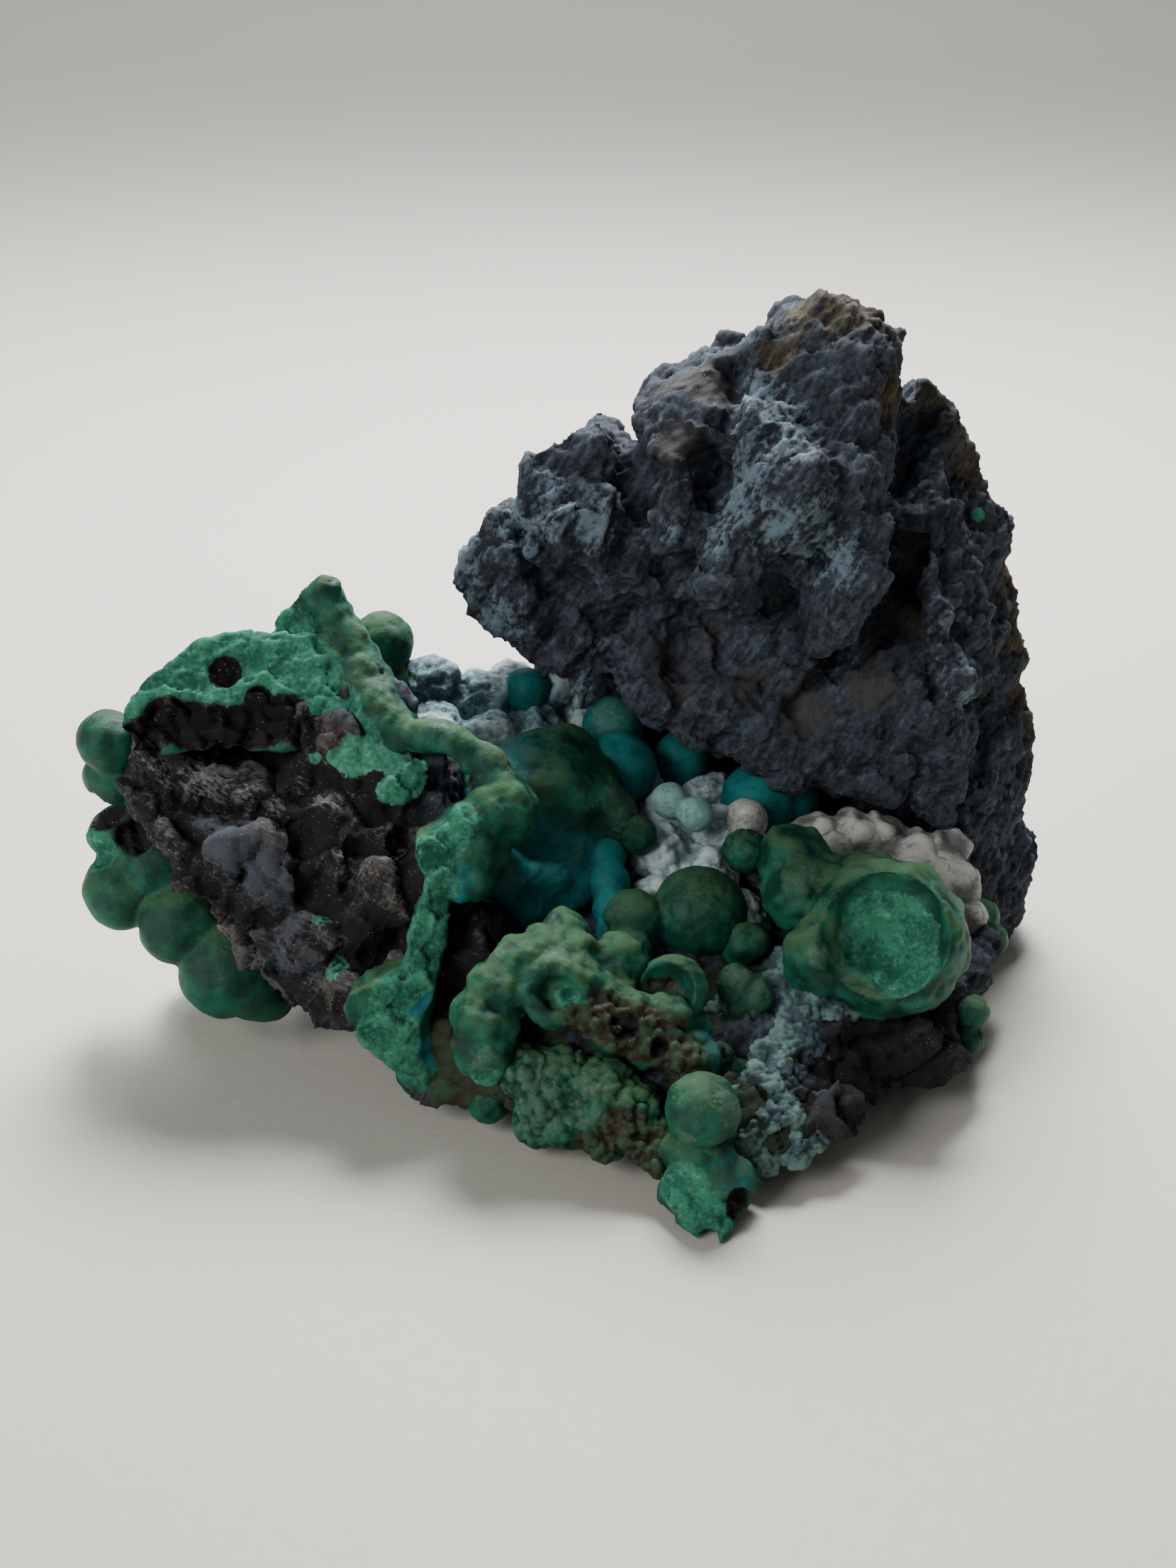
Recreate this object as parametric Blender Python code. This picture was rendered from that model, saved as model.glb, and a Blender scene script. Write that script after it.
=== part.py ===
"""A hand specimen of chrysocolla and malachite on its dark host rock, standing as it is shown.

The host rock is one piece: a thick left wall broken off flat, a sloping floor, and a tall block that
leans over the floor, so that a hollow stays open between them. Malachite and chrysocolla grew on it as
crusts, ribbons, beads and grape-like masses. Balls that grew into each other are one solid, and each mass
or loose bead that can be told apart is an object of its own. Run it with
blender --background --python part.py, or from the Text Editor.

Every length in the tables is in millimetres. X runs to the right of the specimen's show side, Y away from
it, Z up. The finished specimen is moved so that the origin is under the middle of its outline.
"""

import math

import bmesh
import bpy
from mathutils import Vector, noise
from mathutils.geometry import intersect_point_line

MM = 0.001

# ---------------------------------------------------------------- driving dimensions, mm
JOINT_GAP = 0.55  # left between a grown mass and what it grew on
LEAST_GAP = 0.15  # what is kept of it where the seat's facets bulge into it
ROCK_GRAIN = 0.8  # size of the cells that weld the boulders into one rock
GRID_DECIMALS = 7  # of the finest step, in metres, that the points of a skin are placed on
NOISE_SEED = 7
BALL_GRAIN = 0.4  # the same for the rounded masses
ROCK_FACES = 2450
LUMP_SPACING = 7.0  # distance between the broken rock's soft lumps
LUMP_HEIGHT = 1.0
CRAG_SPACING = 4.2  # size of its flat, tilted faces
CRAG_HEIGHT = 1.3
GRAIN_RUNS = Vector((0.52, 0.10, 0.85))  # the way its layers are drawn out
GRAIN_DRAW = 0.45  # share by which that makes its faces longer
CRACK_WIDTH = 0.10  # of the cracks between those faces, in parts of their size
CRACK_DEPTH = 3.0
WANDER_SPACING = 3.0  # how a cleft's course winds
WANDER = 0.7
CLEFT_LIMITS = (-1.5, 3.4)  # the most that it stands out and reaches in
EVEN_SHARE = 0.85  # share of the roughness that an even face lacks
BAND_THICKNESS = 2.6
RING_MIDDLE = Vector((-2.3, -18.9, 13.0))  # the small broken ball in the front arc
RING_FACES = Vector((0.05, -0.85, 0.5))
RING_RADIUS, RING_TUBE, RING_BALLS = 1.9, 0.75, 16
WORKING_BLOCK = 60  # half the width of the block that trims the underside flat
WORKING_DEPTH = 20
SHARP_ANGLE = math.radians(40)
BALL_RINGS = 3  # subdivisions of a ball before it is welded

# ---------------------------------------------------------------- colours: base colour, roughness
FINISHES = {
    "host_rock": ((0.035, 0.037, 0.045), 0.85),
    "malachite": ((0.016, 0.120, 0.072), 0.55),
    "broken_malachite": ((0.050, 0.300, 0.190), 0.70),
    "teal_chrysocolla": ((0.010, 0.150, 0.150), 0.50),
    "pale_chrysocolla": ((0.330, 0.480, 0.480), 0.75),
    "white_crust": ((0.620, 0.600, 0.560), 0.85),
}

# ---------------------------------------------------------------- host rock: corners of its boulders
HOST_ROCK = {
    "left_wall": [
        (-33, 0, 29), (-36, -5, 22.5), (-32, -8.5, 20), (-28.5, -10, 16.5), (-25, -12, 10.5),
        (-20.5, -15, 7), (-16, -15, 8.5), (-12.4, -14, 13.5), (-11.9, -12, 17.5), (-10, -8.5, 21),
        (-10.5, -4, 26), (-14, -1, 29), (-20, 1, 31.5), (-27, 1, 31), (-32, 6, 24), (-26, 9, 24),
        (-16, 12, 23), (-10, 4, 20), (-32, 4, 12), (-26, 2, 5), (-18, -6, 4), (-12, -10, 4), (-12, 6, 4),
        (-22, 10, 8),
    ],
    "hollow_floor": [
        (-12, 3, 17.6), (-16.4, 12.5, 24.6), (-8, 14, 22.4), (0, 14, 17.6), (8, 13, 14), (20, 11, 11),
        (30, 8, 9.5), (30, -2, 7.4), (20, -6, 8), (10, -6, 8.6), (0, -8, 9.4), (-10, -8, 12), (-4, 0, 0),
        (8, -8, 0), (28, 20, 0), (8, 20, 0), (-10, 12, 3),
    ],
    "front_floor": [
        (33, -3, 8), (31, 1, 9), (27.5, -12, 7.6), (16, -15, 8), (8, -17.5, 8.4), (0, -18.6, 9),
        (-8, -16.6, 9), (-12, -13, 10), (-8, -10, 11), (4, -8, 10), (14, -4, 9.6), (24, 2, 9.6),
        (-12, -14, 3.5), (-4, -20, 2.5), (6, -22, 3), (14, -19, 3.5), (24, -13, 2.5), (31, -5, 1),
        (33, 8, 0), (8, 8, 0), (-4, -6, 1),
    ],
    "pillar": [
        (11.2, 8, 48.6), (9.9, 4, 43.4), (8.6, 2.4, 39.4), (12.6, 11, 52.2), (14.6, 12, 53.4),
        (16.6, 13, 54.4), (19.4, 13, 54.8), (22, 13, 54.4), (23.4, 13, 53.2), (24.6, 13, 50.6),
        (23.5, 6.5, 44), (23, 3.6, 38.2),
        (15, 1.8, 43.6), (18, 2.4, 37.6), (20, 3.6, 46), (13, 27, 44), (22, 27, 46), (12, 20, 30),
        (22, 20, 28), (11, 6, 33), (16, 20, 53.4), (22, 20, 53.4),
    ],
    "knob_far_left": [
        (-11.2, 8.4, 33), (-10.4, 8.4, 35.7), (-7.6, 9.4, 39.3), (-6.2, 9, 38.6), (-5.8, 7, 36),
        (-10, 8.4, 30.6), (-6, 8.2, 27.8), (-3.2, 8.4, 24.8), (-8.6, 14, 35), (-4, 17, 38), (-3, 7.6, 31),
        (-6, 17, 29),
    ],
    "upper_left": [
        (-5.4, 7.4, 40.6), (-4.4, 9.4, 43.8), (-1.5, 10, 45.6), (1.5, 10, 45.9), (2.2, 7.6, 43.2),
        (1.3, 4.6, 37.2), (-1.9, 4.8, 37.6), (-4.6, 6.4, 37), (3.4, 12, 44.6), (4.4, 9, 42), (2, 20, 43),
        (-4, 17, 40), (4, 18, 34), (0, 12, 32),
    ],
    "left_flank": [
        (-4, 9, 36), (2, 6, 36), (6, 5, 34), (1.5, 6.6, 28), (-2, 8, 26.5), (6, 6.6, 27), (10, 7, 30),
        (6, 24, 40), (2, 11, 43.5), (7, 10, 44.5), (10, 9, 45), (12, 24, 42), (6, 24, 20), (-4, 19, 28),
        (10, 22, 18), (-2, 18, 36),
    ],
    "smooth_facet": [
        (3.3, 10.2, 46.3), (6.6, 10.6, 49.2), (8.5, 11.2, 50.5), (11.9, 11.6, 51.2), (10.6, 8.2, 48.4),
        (9.2, 5.4, 44.4), (6.4, 4.6, 44.6), (5.3, 4.8, 44.2), (4, 21, 45), (12, 21, 49),
    ],
    "knobs_below_facet": [
        (4.9, 3.8, 42.4), (7.8, 3.2, 44.3), (9, 3, 39.6), (8, 2.2, 37.6), (5.4, 2.6, 36.8),
        (4.6, 4.2, 38), (5, 9, 42), (10, 9, 40), (5, 9, 36),
    ],
    "nose": [
        (8, 1, 38.2), (7.9, 0.7, 35.9), (9.2, 0.8, 34.2), (11.5, 0.5, 33.3), (12.8, 1, 35.4),
        (13, 1.4, 38.4), (10, 1.2, 41), (8, 6, 40), (14, 6, 40), (9, 6, 34), (13, 6, 34),
    ],
    "ridge": [
        (23.7, 4.7, 42), (20.7, 1.9, 35.5), (18.1, 2.8, 30.3), (16.9, 4, 30.4), (18, 3, 38), (15, 4, 36),
        (22.6, 8, 40), (19.6, 9, 32), (16.6, 9, 32),
    ],
    "cave_wall": [
        (1.6, 6.4, 30.6), (8, 7.4, 28), (14, 6.4, 26.6), (3, 6.2, 35), (14, 6, 34), (21, 8.5, 32),
        (20, 8, 26), (4, 20, 34), (21, 20, 34), (4, 18, 25), (20, 18, 25),
    ],
    "cleft_wall": [
        (23.4, 13, 47.6), (26, 13.6, 45.8), (25, 9, 40), (23.6, 8, 34), (20.8, 7.4, 28), (22, 24, 46),
        (28, 24, 40), (20, 24, 28), (30, 12, 30), (27.6, 8.4, 30), (20, 8, 44),
    ],
    "hanging_blade": [
        (-3, 8, 26), (-1, 6.4, 22.5), (-0.2, 6.8, 22.7), (1.2, 6.8, 29.5), (-0.4, 7.4, 30),
        (-3, 9.5, 30), (-1, 10, 24.2), (2, 10, 27),
    ],
    "overhang": [
        (1.2, 6.2, 26), (6.5, 4.6, 23.4), (10.3, 4.4, 20.3), (15.9, 3.8, 18.9), (20.3, 3.6, 17.5),
        (24.7, 3.6, 16.4), (30, 4.2, 14), (30.3, 3.8, 22.4), (29.1, 3.6, 25.2), (26.7, 4, 30.2),
        (21.6, 2.2, 21.4), (14.6, 4.8, 26.2), (23.6, 5, 28), (4, 22, 26), (30, 24, 22), (8, 17, 21),
        (30, 20, 15),
    ],
    "right_crest": [
        (26.4, 3.9, 30.6), (29, 3.6, 25.6), (25.6, 9, 39), (26.4, 6.4, 36), (26, 13.5, 46), (30.4, 10, 36),
        (31, 6, 25), (24, 9, 33), (26, 20, 40), (33, 18, 32), (24, 12, 26),
    ],
    "right_flank": [
        (26.1, 15, 48.9), (28.7, 15, 46.1), (31.3, 15, 40.9), (33.5, 15, 37), (35.3, 15, 32.1),
        (36.9, 14, 24.9), (35.7, 14, 23.2), (24.6, 13, 47), (30.6, 7, 22), (31, 7, 16), (26, 27, 42),
        (33, 26, 30), (35, 24, 20), (24, 27, 14),
    ],
    "right_skirt": [
        (36.3, 14, 22.8), (37, 13.2, 20), (36.4, 13.2, 16.6), (37.4, 12.2, 12.8), (38.9, 10.8, 7.2),
        (36.4, 9.2, -3), (33.4, 5.8, -3), (33.1, 4.8, 5.4), (31.3, 4.8, 11.6), (31.4, 6, 18),
        (35, 22, -3), (27, 25, -3), (24, 10, -3), (34, 24, 16),
    ],
    "foot": [
        (2, 8, 2), (2, 8, -3), (33, 7, 5), (33, 7, -3), (2, 26, -3), (33, 25, -3), (6, 25, 30),
        (28, 26, 30), (8, 14, 24), (24, 12, 24), (33, 11, 22), (-6, 17, 14), (-6, 22, 8),
    ],
    "flake": [
        (14.5, -18, 7.6), (19.1, -17, 9.6), (28.1, -14, 7.2), (28.8, -14, 4.8), (26.6, -16, 2),
        (21.5, -18, 2.8), (17.1, -19, 4.5), (16, -10, 7), (28, -8, 6), (26, -9, 2), (18, -12, 2),
    ],
    "front_root": [
        (-17, -14.5, 5.5), (-12.4, -17, 1.8), (-8, -18.5, 1.6), (-8, -16, 9), (-14, -12.5, 9),
        (-4, -19, 8), (-2, -19, 3), (-6, -12, 2),
    ],
    "dark_patch": [
        (-10.4, -10.6, 15.4), (-6.8, -9.8, 14.9), (-5.6, -11.6, 13.2), (-10.3, -13, 12.8),
        (-7.2, -14, 12.5), (-12, -10, 8), (-5, -10, 8), (-11, -15, 8), (-6, -15.5, 8), (-8, -6, 12),
    ],
    "below_arc": [
        (-12.2, -16, 8.4), (-12.4, -15.4, 2), (-8.6, -16.6, 3.6), (-4.2, -16.2, 7.6), (-4.8, -17.2, 4),
        (-10, -16.6, 9), (-8, -12, 10), (-12, -10, 3), (-4, -12, 3), (-6.8, -16, 11),
    ],
    "right_tail": [
        (13.8, -25, 3), (16.4, -23.5, 3.4), (19.5, -21, 3), (19.3, -21, 5), (14.5, -19, 7.8), (9, -21, 7),
        (9, -22, 3), (17, -16, 3),
    ],
}

# Hollows broken or dissolved out of the rock, as balls: middle, radius
ROCK_POCKETS = [
    (-24.6, -3.5, 25.2, 1.9), (-23.0, -3.0, 26.4, 1.6), (-13.3, -8.5, 21.6, 1.5), (-12.2, -8.0, 22.6, 1.5),
    (-14.0, -9.5, 20.0, 1.1),
]
CLEFTS = {
    # name: how wide and how deep it is (raised where it is below zero), then its course
    "beside_the_facet": (
        0.9, 2.2,
        (11.1, 10.3, 49.5), (10.8, 7.4, 47.7), (10.1, 6.2, 45.6), (9.4, 6.0, 43.9),
    ),
    "below_the_facet": (
        0.8, 1.6,
        (9.4, 6.0, 43.9), (9.7, 5.0, 42.0), (9.4, 4.1, 40.0), (8.4, 3.0, 38.4), (8.0, 6.4, 34.9),
    ),
    "left_of_the_knob": (
        0.8, 1.5,
        (7.4, 5.8, 44.3), (5.1, 7.0, 42.9), (5.0, 7.1, 39.1), (5.8, 5.8, 36.7), (7.1, 4.9, 34.4),
    ),
    "between_the_lobes": (
        0.9, 1.8,
        (2.2, 12.0, 44.9), (3.2, 8.7, 43.2), (3.0, 8.0, 40.3), (2.2, 7.0, 37.6), (1.6, 6.2, 35.7),
    ),
    "under_the_first_lobe": (
        0.8, 1.6,
        (-3.5, 6.2, 38.4), (-1.9, 6.0, 36.4), (0.7, 6.4, 35.2),
    ),
    "far_left": (
        0.8, 1.2,
        (-6.4, 8.9, 37.4), (-4.7, 7.9, 34.8), (-3.1, 8.1, 32.6), (-1.4, 8.4, 31.4),
    ),
    "slanting_cleft": (
        1.1, 3.0,
        (25.1, 9.0, 36.0), (23.6, 8.8, 33.4), (22.0, 8.1, 31.0), (19.6, 5.8, 28.9), (17.8, 4.8, 26.6),
        (16.1, 4.4, 24.0),
    ),
    "recess": (
        2.2, 2.2,
        (22.8, 8.5, 31.9), (20.7, 6.2, 29.2), (19.7, 4.8, 26.6),
    ),
    "right_of_the_pillar": (
        1.4, 2.8,
        (25.8, 13.4, 44.6), (25.4, 10.7, 42.0), (24.2, 5.2, 40.3), (25.1, 9.0, 36.0),
    ),
    "between_the_ribs": (
        0.9, 1.6,
        (24.8, 8.4, 34.1), (25.9, 6.1, 31.3), (26.8, 4.4, 28.9), (27.4, 3.8, 26.5),
    ),
    "right_of_the_ribs": (
        1.0, 1.8,
        (27.8, 8.7, 35.6), (28.7, 5.2, 32.7), (31.3, 7.4, 27.1), (32.9, 9.3, 21.1), (32.2, 6.7, 17.9),
    ),
    "cave": (
        3.4, 3.0,
        (4.4, 6.0, 30.2), (8.0, 6.8, 29.0), (11.6, 7.0, 28.4), (13.9, 5.8, 27.2),
    ),
    "under_the_nose": (
        1.2, 1.8,
        (5.3, 5.2, 35.3), (7.7, 5.7, 32.5), (10.5, 7.2, 29.7), (13.4, 7.4, 29.7), (14.8, 7.3, 31.8),
    ),
    "beside_the_blade": (
        0.9, 1.5,
        (3.1, 6.3, 31.2), (2.1, 6.1, 28.2), (0.6, 7.0, 24.3),
    ),
    "left_of_the_blade": (
        0.9, 1.2,
        (0.6, 7.4, 30.6), (-0.4, 7.7, 26.4),
    ),
    "pillar_pits": (
        0.6, 1.0,
        (13.8, 4.8, 46.1), (14.0, 4.4, 45.7),
    ),
    "pillar_seam": (
        0.7, 0.8,
        (17.5, 8.2, 48.7), (18.1, 5.2, 46.1), (18.0, 2.7, 43.1), (17.5, 2.4, 39.8), (17.2, 3.6, 35.9),
        (17.0, 4.7, 32.4),
    ),
    "overhang_seam": (
        0.8, 1.0,
        (15.9, 4.3, 23.5), (19.7, 3.5, 22.7), (23.8, 3.5, 22.4), (27.2, 3.2, 20.8),
    ),
    "overhang_pit_row": (
        0.8, 1.2,
        (22.9, 3.0, 20.3), (26.8, 4.0, 17.5), (30.5, 4.8, 15.4),
    ),
    "under_the_plate": (
        1.0, 2.6,
        (-32.9, -4.2, 27.0), (-30.7, -4.5, 26.5), (-28.5, -4.6, 25.4), (-27.0, -3.9, 23.9),
        (-24.8, -3.0, 23.5), (-22.7, -3.3, 24.8),
    ),
    "hole_under_the_plate": (
        1.5, 3.0,
        (-26.9, -4.5, 25.7), (-25.7, -2.7, 24.2), (-24.3, -4.4, 25.4),
    ),
    "slot": (
        0.8, 2.4,
        (-23.6, -2.7, 29.2), (-24.3, -3.6, 28.2), (-25.0, -4.3, 27.0), (-25.3, -4.4, 26.0),
    ),
    "below_the_ledge": (
        0.9, 1.6,
        (-33.2, -4.8, 22.8), (-30.8, -5.7, 22.2), (-28.5, -7.0, 21.2), (-26.0, -8.0, 20.9),
        (-23.7, -7.1, 21.1),
    ),
    "left_plate_seam": (
        0.8, 1.2,
        (-29.9, -7.4, 20.6), (-29.1, -8.9, 19.4), (-29.8, -9.5, 17.9),
    ),
    "middle_seam": (
        0.8, 1.4,
        (-20.4, -5.6, 23.2), (-21.7, -6.7, 21.4), (-21.4, -7.7, 19.6), (-20.3, -9.2, 18.3),
        (-18.7, -10.8, 17.9),
    ),
    "middle_pit": (
        1.0, 1.8,
        (-22.8, -11.5, 14.5), (-21.9, -11.2, 15.8), (-20.9, -11.1, 16.7), (-20.1, -11.3, 17.3),
    ),
    "right_pit": (
        0.9, 1.6,
        (-15.6, -13.3, 12.1), (-15.1, -13.2, 13.0), (-13.8, -13.9, 14.3),
    ),
    "right_seam": (
        0.8, 1.2,
        (-14.9, -7.0, 22.1), (-15.5, -9.1, 20.4), (-16.7, -10.2, 18.9), (-18.1, -11.8, 17.6),
        (-19.3, -11.9, 16.2), (-20.2, -11.8, 14.7),
    ),
    "lower_seam": (
        0.8, 1.2,
        (-27.9, -10.3, 16.2), (-26.6, -10.8, 15.2), (-24.6, -11.7, 14.7), (-23.6, -11.8, 12.9),
        (-22.7, -12.4, 11.0), (-21.6, -13.0, 9.9),
    ),
    "low_right_seam": (
        0.8, 1.1,
        (-20.0, -12.8, 11.7), (-18.3, -13.3, 11.6), (-16.8, -13.3, 11.6), (-15.5, -13.3, 12.2),
    ),
    "ridge_by_the_cleft": (
        1.0, -1.3,
        (23.0, 3.4, 40.4), (21.2, 2.9, 37.7), (19.4, 2.2, 34.9), (17.9, 3.2, 31.4), (16.8, 5.1, 27.5),
    ),
    "first_rib": (
        0.8, -1.0,
        (22.8, 8.6, 32.9), (24.5, 8.0, 31.6), (24.8, 6.0, 29.3), (25.6, 4.0, 26.9),
    ),
    "second_rib": (
        0.8, -1.0,
        (26.2, 7.2, 33.5), (27.2, 4.7, 30.7), (28.9, 4.1, 26.9),
    ),
    "ledge": (
        1.2, -1.4,
        (-33.2, -4.7, 25.8), (-31.0, -4.1, 23.7), (-28.2, -5.1, 22.8), (-25.3, -6.4, 22.2),
        (-22.8, -6.5, 21.9),
    ),
    "small_block": (
        1.3, -1.0,
        (6.9, 5.3, 43.3), (6.9, 3.9, 41.2), (7.1, 3.8, 38.8),
    ),
    "nose": (
        1.7, -0.9,
        (8.5, 1.1, 36.4), (11.2, 0.3, 36.2),
    ),
    "overhang_edge": (
        1.2, -0.8,
        (7.1, 5.9, 22.7), (11.2, 5.3, 20.9), (15.0, 3.7, 20.0), (19.9, 2.8, 19.3), (25.2, 4.0, 17.6),
    ),
}
EVEN_FACE = [(6.6, 12.2, 47.7, 3.0), (9.4, 9.8, 49.0, 2.6), (7.1, 6.2, 45.5, 2.4), (5.3, 5.6, 44.3, 1.2)]

# ---------------------------------------------------------------- grown masses: (x, y, z, radius)
LEFT_BALLS = [
    (-36.6, -1.6, 24.6, 2.5), (-36.6, -0.4, 21.2, 2.6), (-37.0, -0.6, 15.9, 2.4), (-36.4, -2.2, 12.1, 3.3),
    (-31.7, -4.3, 10.2, 3.5), (-28.0, -5.6, 7.0, 4.1), (-33.6, -2.0, 14.4, 3.2), (-37.6, -0.2, 10.6, 2.4),
    (-31.0, 1.5, 5.4, 3.6), (-34.0, 3.0, 17.6, 3.6), (-26.0, -5.0, 4.4, 2.9), (-29.0, -1.0, 3.8, 3.4),
]
DOME = [
    (-3.2, 1.6, 17.1, 6.3), (-3.3, -4.0, 13.5, 3.2), (-1.2, -3.6, 13.7, 2.5), (-5.3, -4.6, 13.6, 3.5),
    (-6.6, -0.4, 18.2, 4.4), (-0.6, 0.6, 15.6, 4.6),
]
FINGER = [(1.4, -3.2, 15.4, 1.6), (1.7, -4.8, 13.9, 1.7), (1.9, -6.4, 12.6, 1.6), (2.0, -8.0, 11.6, 1.5)]
CENTRE_BALLS = [(8.6, -6.0, 11.8, 3.75), (3.4, -7.4, 12.0, 2.5), (2.9, -9.8, 10.7, 2.1)]
SIDE_LUMP = [(12.2, -8.8, 10.9, 1.7), (11.6, -8.2, 9.6, 1.8)]
CUP_LOBES = [
    (15.9, -4.0, 15.7, 2.7), (16.2, -6.6, 13.9, 2.9), (18.4, -6.0, 13.6, 3.2), (21.0, -7.0, 13.2, 4.2),
    (22.3, -11.2, 12.8, 6.0), (17.2, -13.0, 12.4, 2.9),
]
CUP_BOWL = [(21.2, -16.3, 16.4, 5.3)]
DISC = [(6.2, -16.0, 11.4, 2.6)]
DISC_FACE = [(4.9, -18.4, 12.6, 2.3)]
ARC = [
    (-7.3, -19.0, 8.3, 2.5), (-7.4, -18.6, 10.7, 2.5), (-6.4, -17.4, 12.4, 2.4), (-4.9, -16.4, 13.8, 2.2),
    (-3.0, -15.4, 14.2, 2.1), (-1.1, -15.2, 13.6, 2.1), (-1.8, -13.6, 14.6, 1.9), (-2.2, -17.0, 12.4, 2.9),
    (-0.5, -17.2, 12.7, 1.9), (2.3, -14.4, 12.9, 2.1), (2.5, -15.4, 11.8, 1.6), (1.2, -17.2, 11.4, 1.8),
    (0.4, -18.8, 11.0, 1.8), (1.8, -19.4, 10.0, 1.8), (3.5, -18.6, 10.7, 1.9), (4.2, -19.4, 9.2, 1.9),
    (5.6, -18.4, 10.5, 1.9), (6.1, -19.6, 8.8, 1.9), (7.0, -21.0, 8.4, 1.6),
]
ARC_BOWLS = [(-2.4, -20.4, 13.9, 2.2)]
ARC_BEAD = [(-1.5, -18.5, 12.6, 0.95)]
FRONT_DRUSE = [
    (-4.1, -19.6, 6.5, 2.3), (-1.7, -20.0, 6.3, 2.5), (0.8, -21.0, 6.0, 2.5), (2.9, -22.0, 4.9, 2.5),
    (-3.5, -20.0, 2.8, 2.1), (-1.1, -21.0, 3.6, 2.3), (4.1, -23.4, 3.5, 1.9), (1.2, -22.2, 3.4, 2.1),
    (-3.0, -20.2, 4.8, 2.4), (5.2, -24.4, 3.0, 1.6),
]
ROUND_BALL = [(8.0, -25.0, 7.3, 2.75)]
FRONT_TIP = [
    (8.0, -25.6, 3.9, 2.4), (6.2, -25.4, 4.0, 1.3), (8.6, -27.0, 2.6, 2.0), (10.4, -26.6, 2.6, 1.5),
]
TIP_PLATES = [
    [(4.6, -27.2, 2.4), (5.5, -27.0, 4.2), (6.5, -26.8, 4.3), (6.1, -28.2, 2.6), (5.7, -27.8, 0.8),
     (4.7, -27.4, 1.2), (7.5, -25.0, 3.5), (7.0, -25.0, 1.0)],
    [(6.2, -28.2, 3.7), (7.5, -27.8, 4.1), (8.7, -28.6, 3.0), (8.6, -29.0, 1.2), (7.6, -29.4, 0.0),
     (7.0, -29.2, 0.3), (6.1, -28.8, 0.6), (7.6, -30.4, 0.0), (8.0, -25.6, 3.4), (7.4, -25.6, 0.6)],
    [(9.1, -27.8, 3.3), (11.2, -26.6, 3.4), (12.2, -26.4, 2.2), (11.3, -27.4, 1.0), (10.6, -28.4, 0.2),
     (9.3, -30.0, 0.0), (8.6, -29.0, 1.2), (9.0, -31.0, 0.0), (9.4, -25.0, 3.0), (10.4, -25.0, 0.8)],
]
GRAPES = [
    (11.0, -13.2, 9.9, 1.3), (12.2, -13.6, 9.2, 1.1), (10.9, -13.8, 8.6, 1.1), (12.0, -14.4, 7.9, 1.2),
    (13.2, -14.2, 7.3, 1.1), (11.0, -15.0, 7.2, 1.1), (12.2, -15.4, 6.6, 1.1), (13.6, -14.8, 6.4, 1.0),
    (11.2, -16.2, 6.3, 0.9), (12.2, -16.4, 5.8, 0.9), (10.4, -16.0, 6.6, 0.9), (10.4, -18.2, 5.8, 1.0),
    (9.6, -17.6, 6.6, 1.1), (11.2, -17.4, 5.6, 1.0),
]
BACK_LEFT = [(-16.7, 12.0, 27.0, 2.5), (-17.0, 10.4, 23.8, 2.5), (-19.2, 11.0, 24.4, 2.0)]
SMALL_BALL = [(-7.4, -17.4, 2.5, 1.6)]
RIGHT_GREEN = [(31.6, 0.0, 8.0, 1.6), (32.4, -1.0, 6.4, 1.5)]
EDGE_GREEN = [(29.2, -11.4, 6.4, 1.3), (29.0, -12.0, 4.4, 1.2)]
RIM_CHAIN = [
    (-19.8, 3.0, 35.0, 1.2), (-19.9, 3.0, 33.6, 1.6), (-19.0, 2.4, 31.6, 2.1), (-18.2, 1.4, 30.0, 2.3),
    (-17.0, 0.0, 28.4, 2.3), (-16.1, -1.6, 27.6, 2.1), (-14.8, -3.0, 26.4, 2.0), (-13.6, -4.2, 26.0, 1.3),
    (-12.4, -4.6, 26.4, 1.3), (-11.0, -4.9, 26.6, 1.35), (-9.9, -5.2, 26.2, 1.35), (-8.9, -5.6, 25.6, 1.4),
    (-7.9, -6.0, 24.9, 1.45), (-6.9, -6.4, 24.0, 1.55), (-6.1, -7.0, 23.2, 1.6), (-6.2, -7.8, 22.1, 2.2),
    (-7.4, -8.2, 22.1, 1.9), (-5.9, -7.4, 20.7, 1.9), (-5.3, -6.6, 21.6, 1.6), (-8.8, -9.0, 21.4, 1.8),
    (-8.6, -9.4, 20.2, 1.9), (-8.6, -10.0, 18.9, 1.9), (-8.4, -10.6, 17.7, 1.8), (-9.4, -11.2, 17.6, 1.5),
    (-7.4, -8.8, 18.7, 1.6), (-7.9, -9.6, 17.6, 1.6), (-11.2, -10.6, 19.6, 1.5), (-13.6, -14.4, 9.4, 2.4),
    (-15.4, -15.0, 9.2, 2.2), (-12.8, -14.8, 6.6, 1.9), (-12.0, -14.8, 4.8, 1.8), (-12.8, -14.9, 3.2, 1.7),
]
RIM_HORN = [
    (-24.2, 2.6, 32.4), (-22.0, 3.2, 34.7), (-20.3, 3.6, 36.2), (-19.2, 3.4, 35.6), (-18.9, 3.2, 32.2),
    (-18.0, 2.6, 30.6), (-23, 1.4, 30), (-23, 5, 31), (-18.6, 5, 30.6), (-20.4, 4.6, 35.2),
]
RIM_PLATE = [
    (-20, 0.4, 32.6), (-25.6, 0.6, 32.8), (-29.4, -0.2, 32.4), (-31, -1, 31.3), (-33.6, -2.6, 29.8),
    (-35.2, -4.2, 27), (-34, -5, 25), (-29.4, -4.2, 27.4), (-25, -3.2, 28.6), (-20.5, -4, 27.6),
    (-15.4, -4, 24.8), (-14.6, -2, 26.4), (-33, 4, 27), (-26, 5, 30), (-18, 4.5, 29),
]
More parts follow.
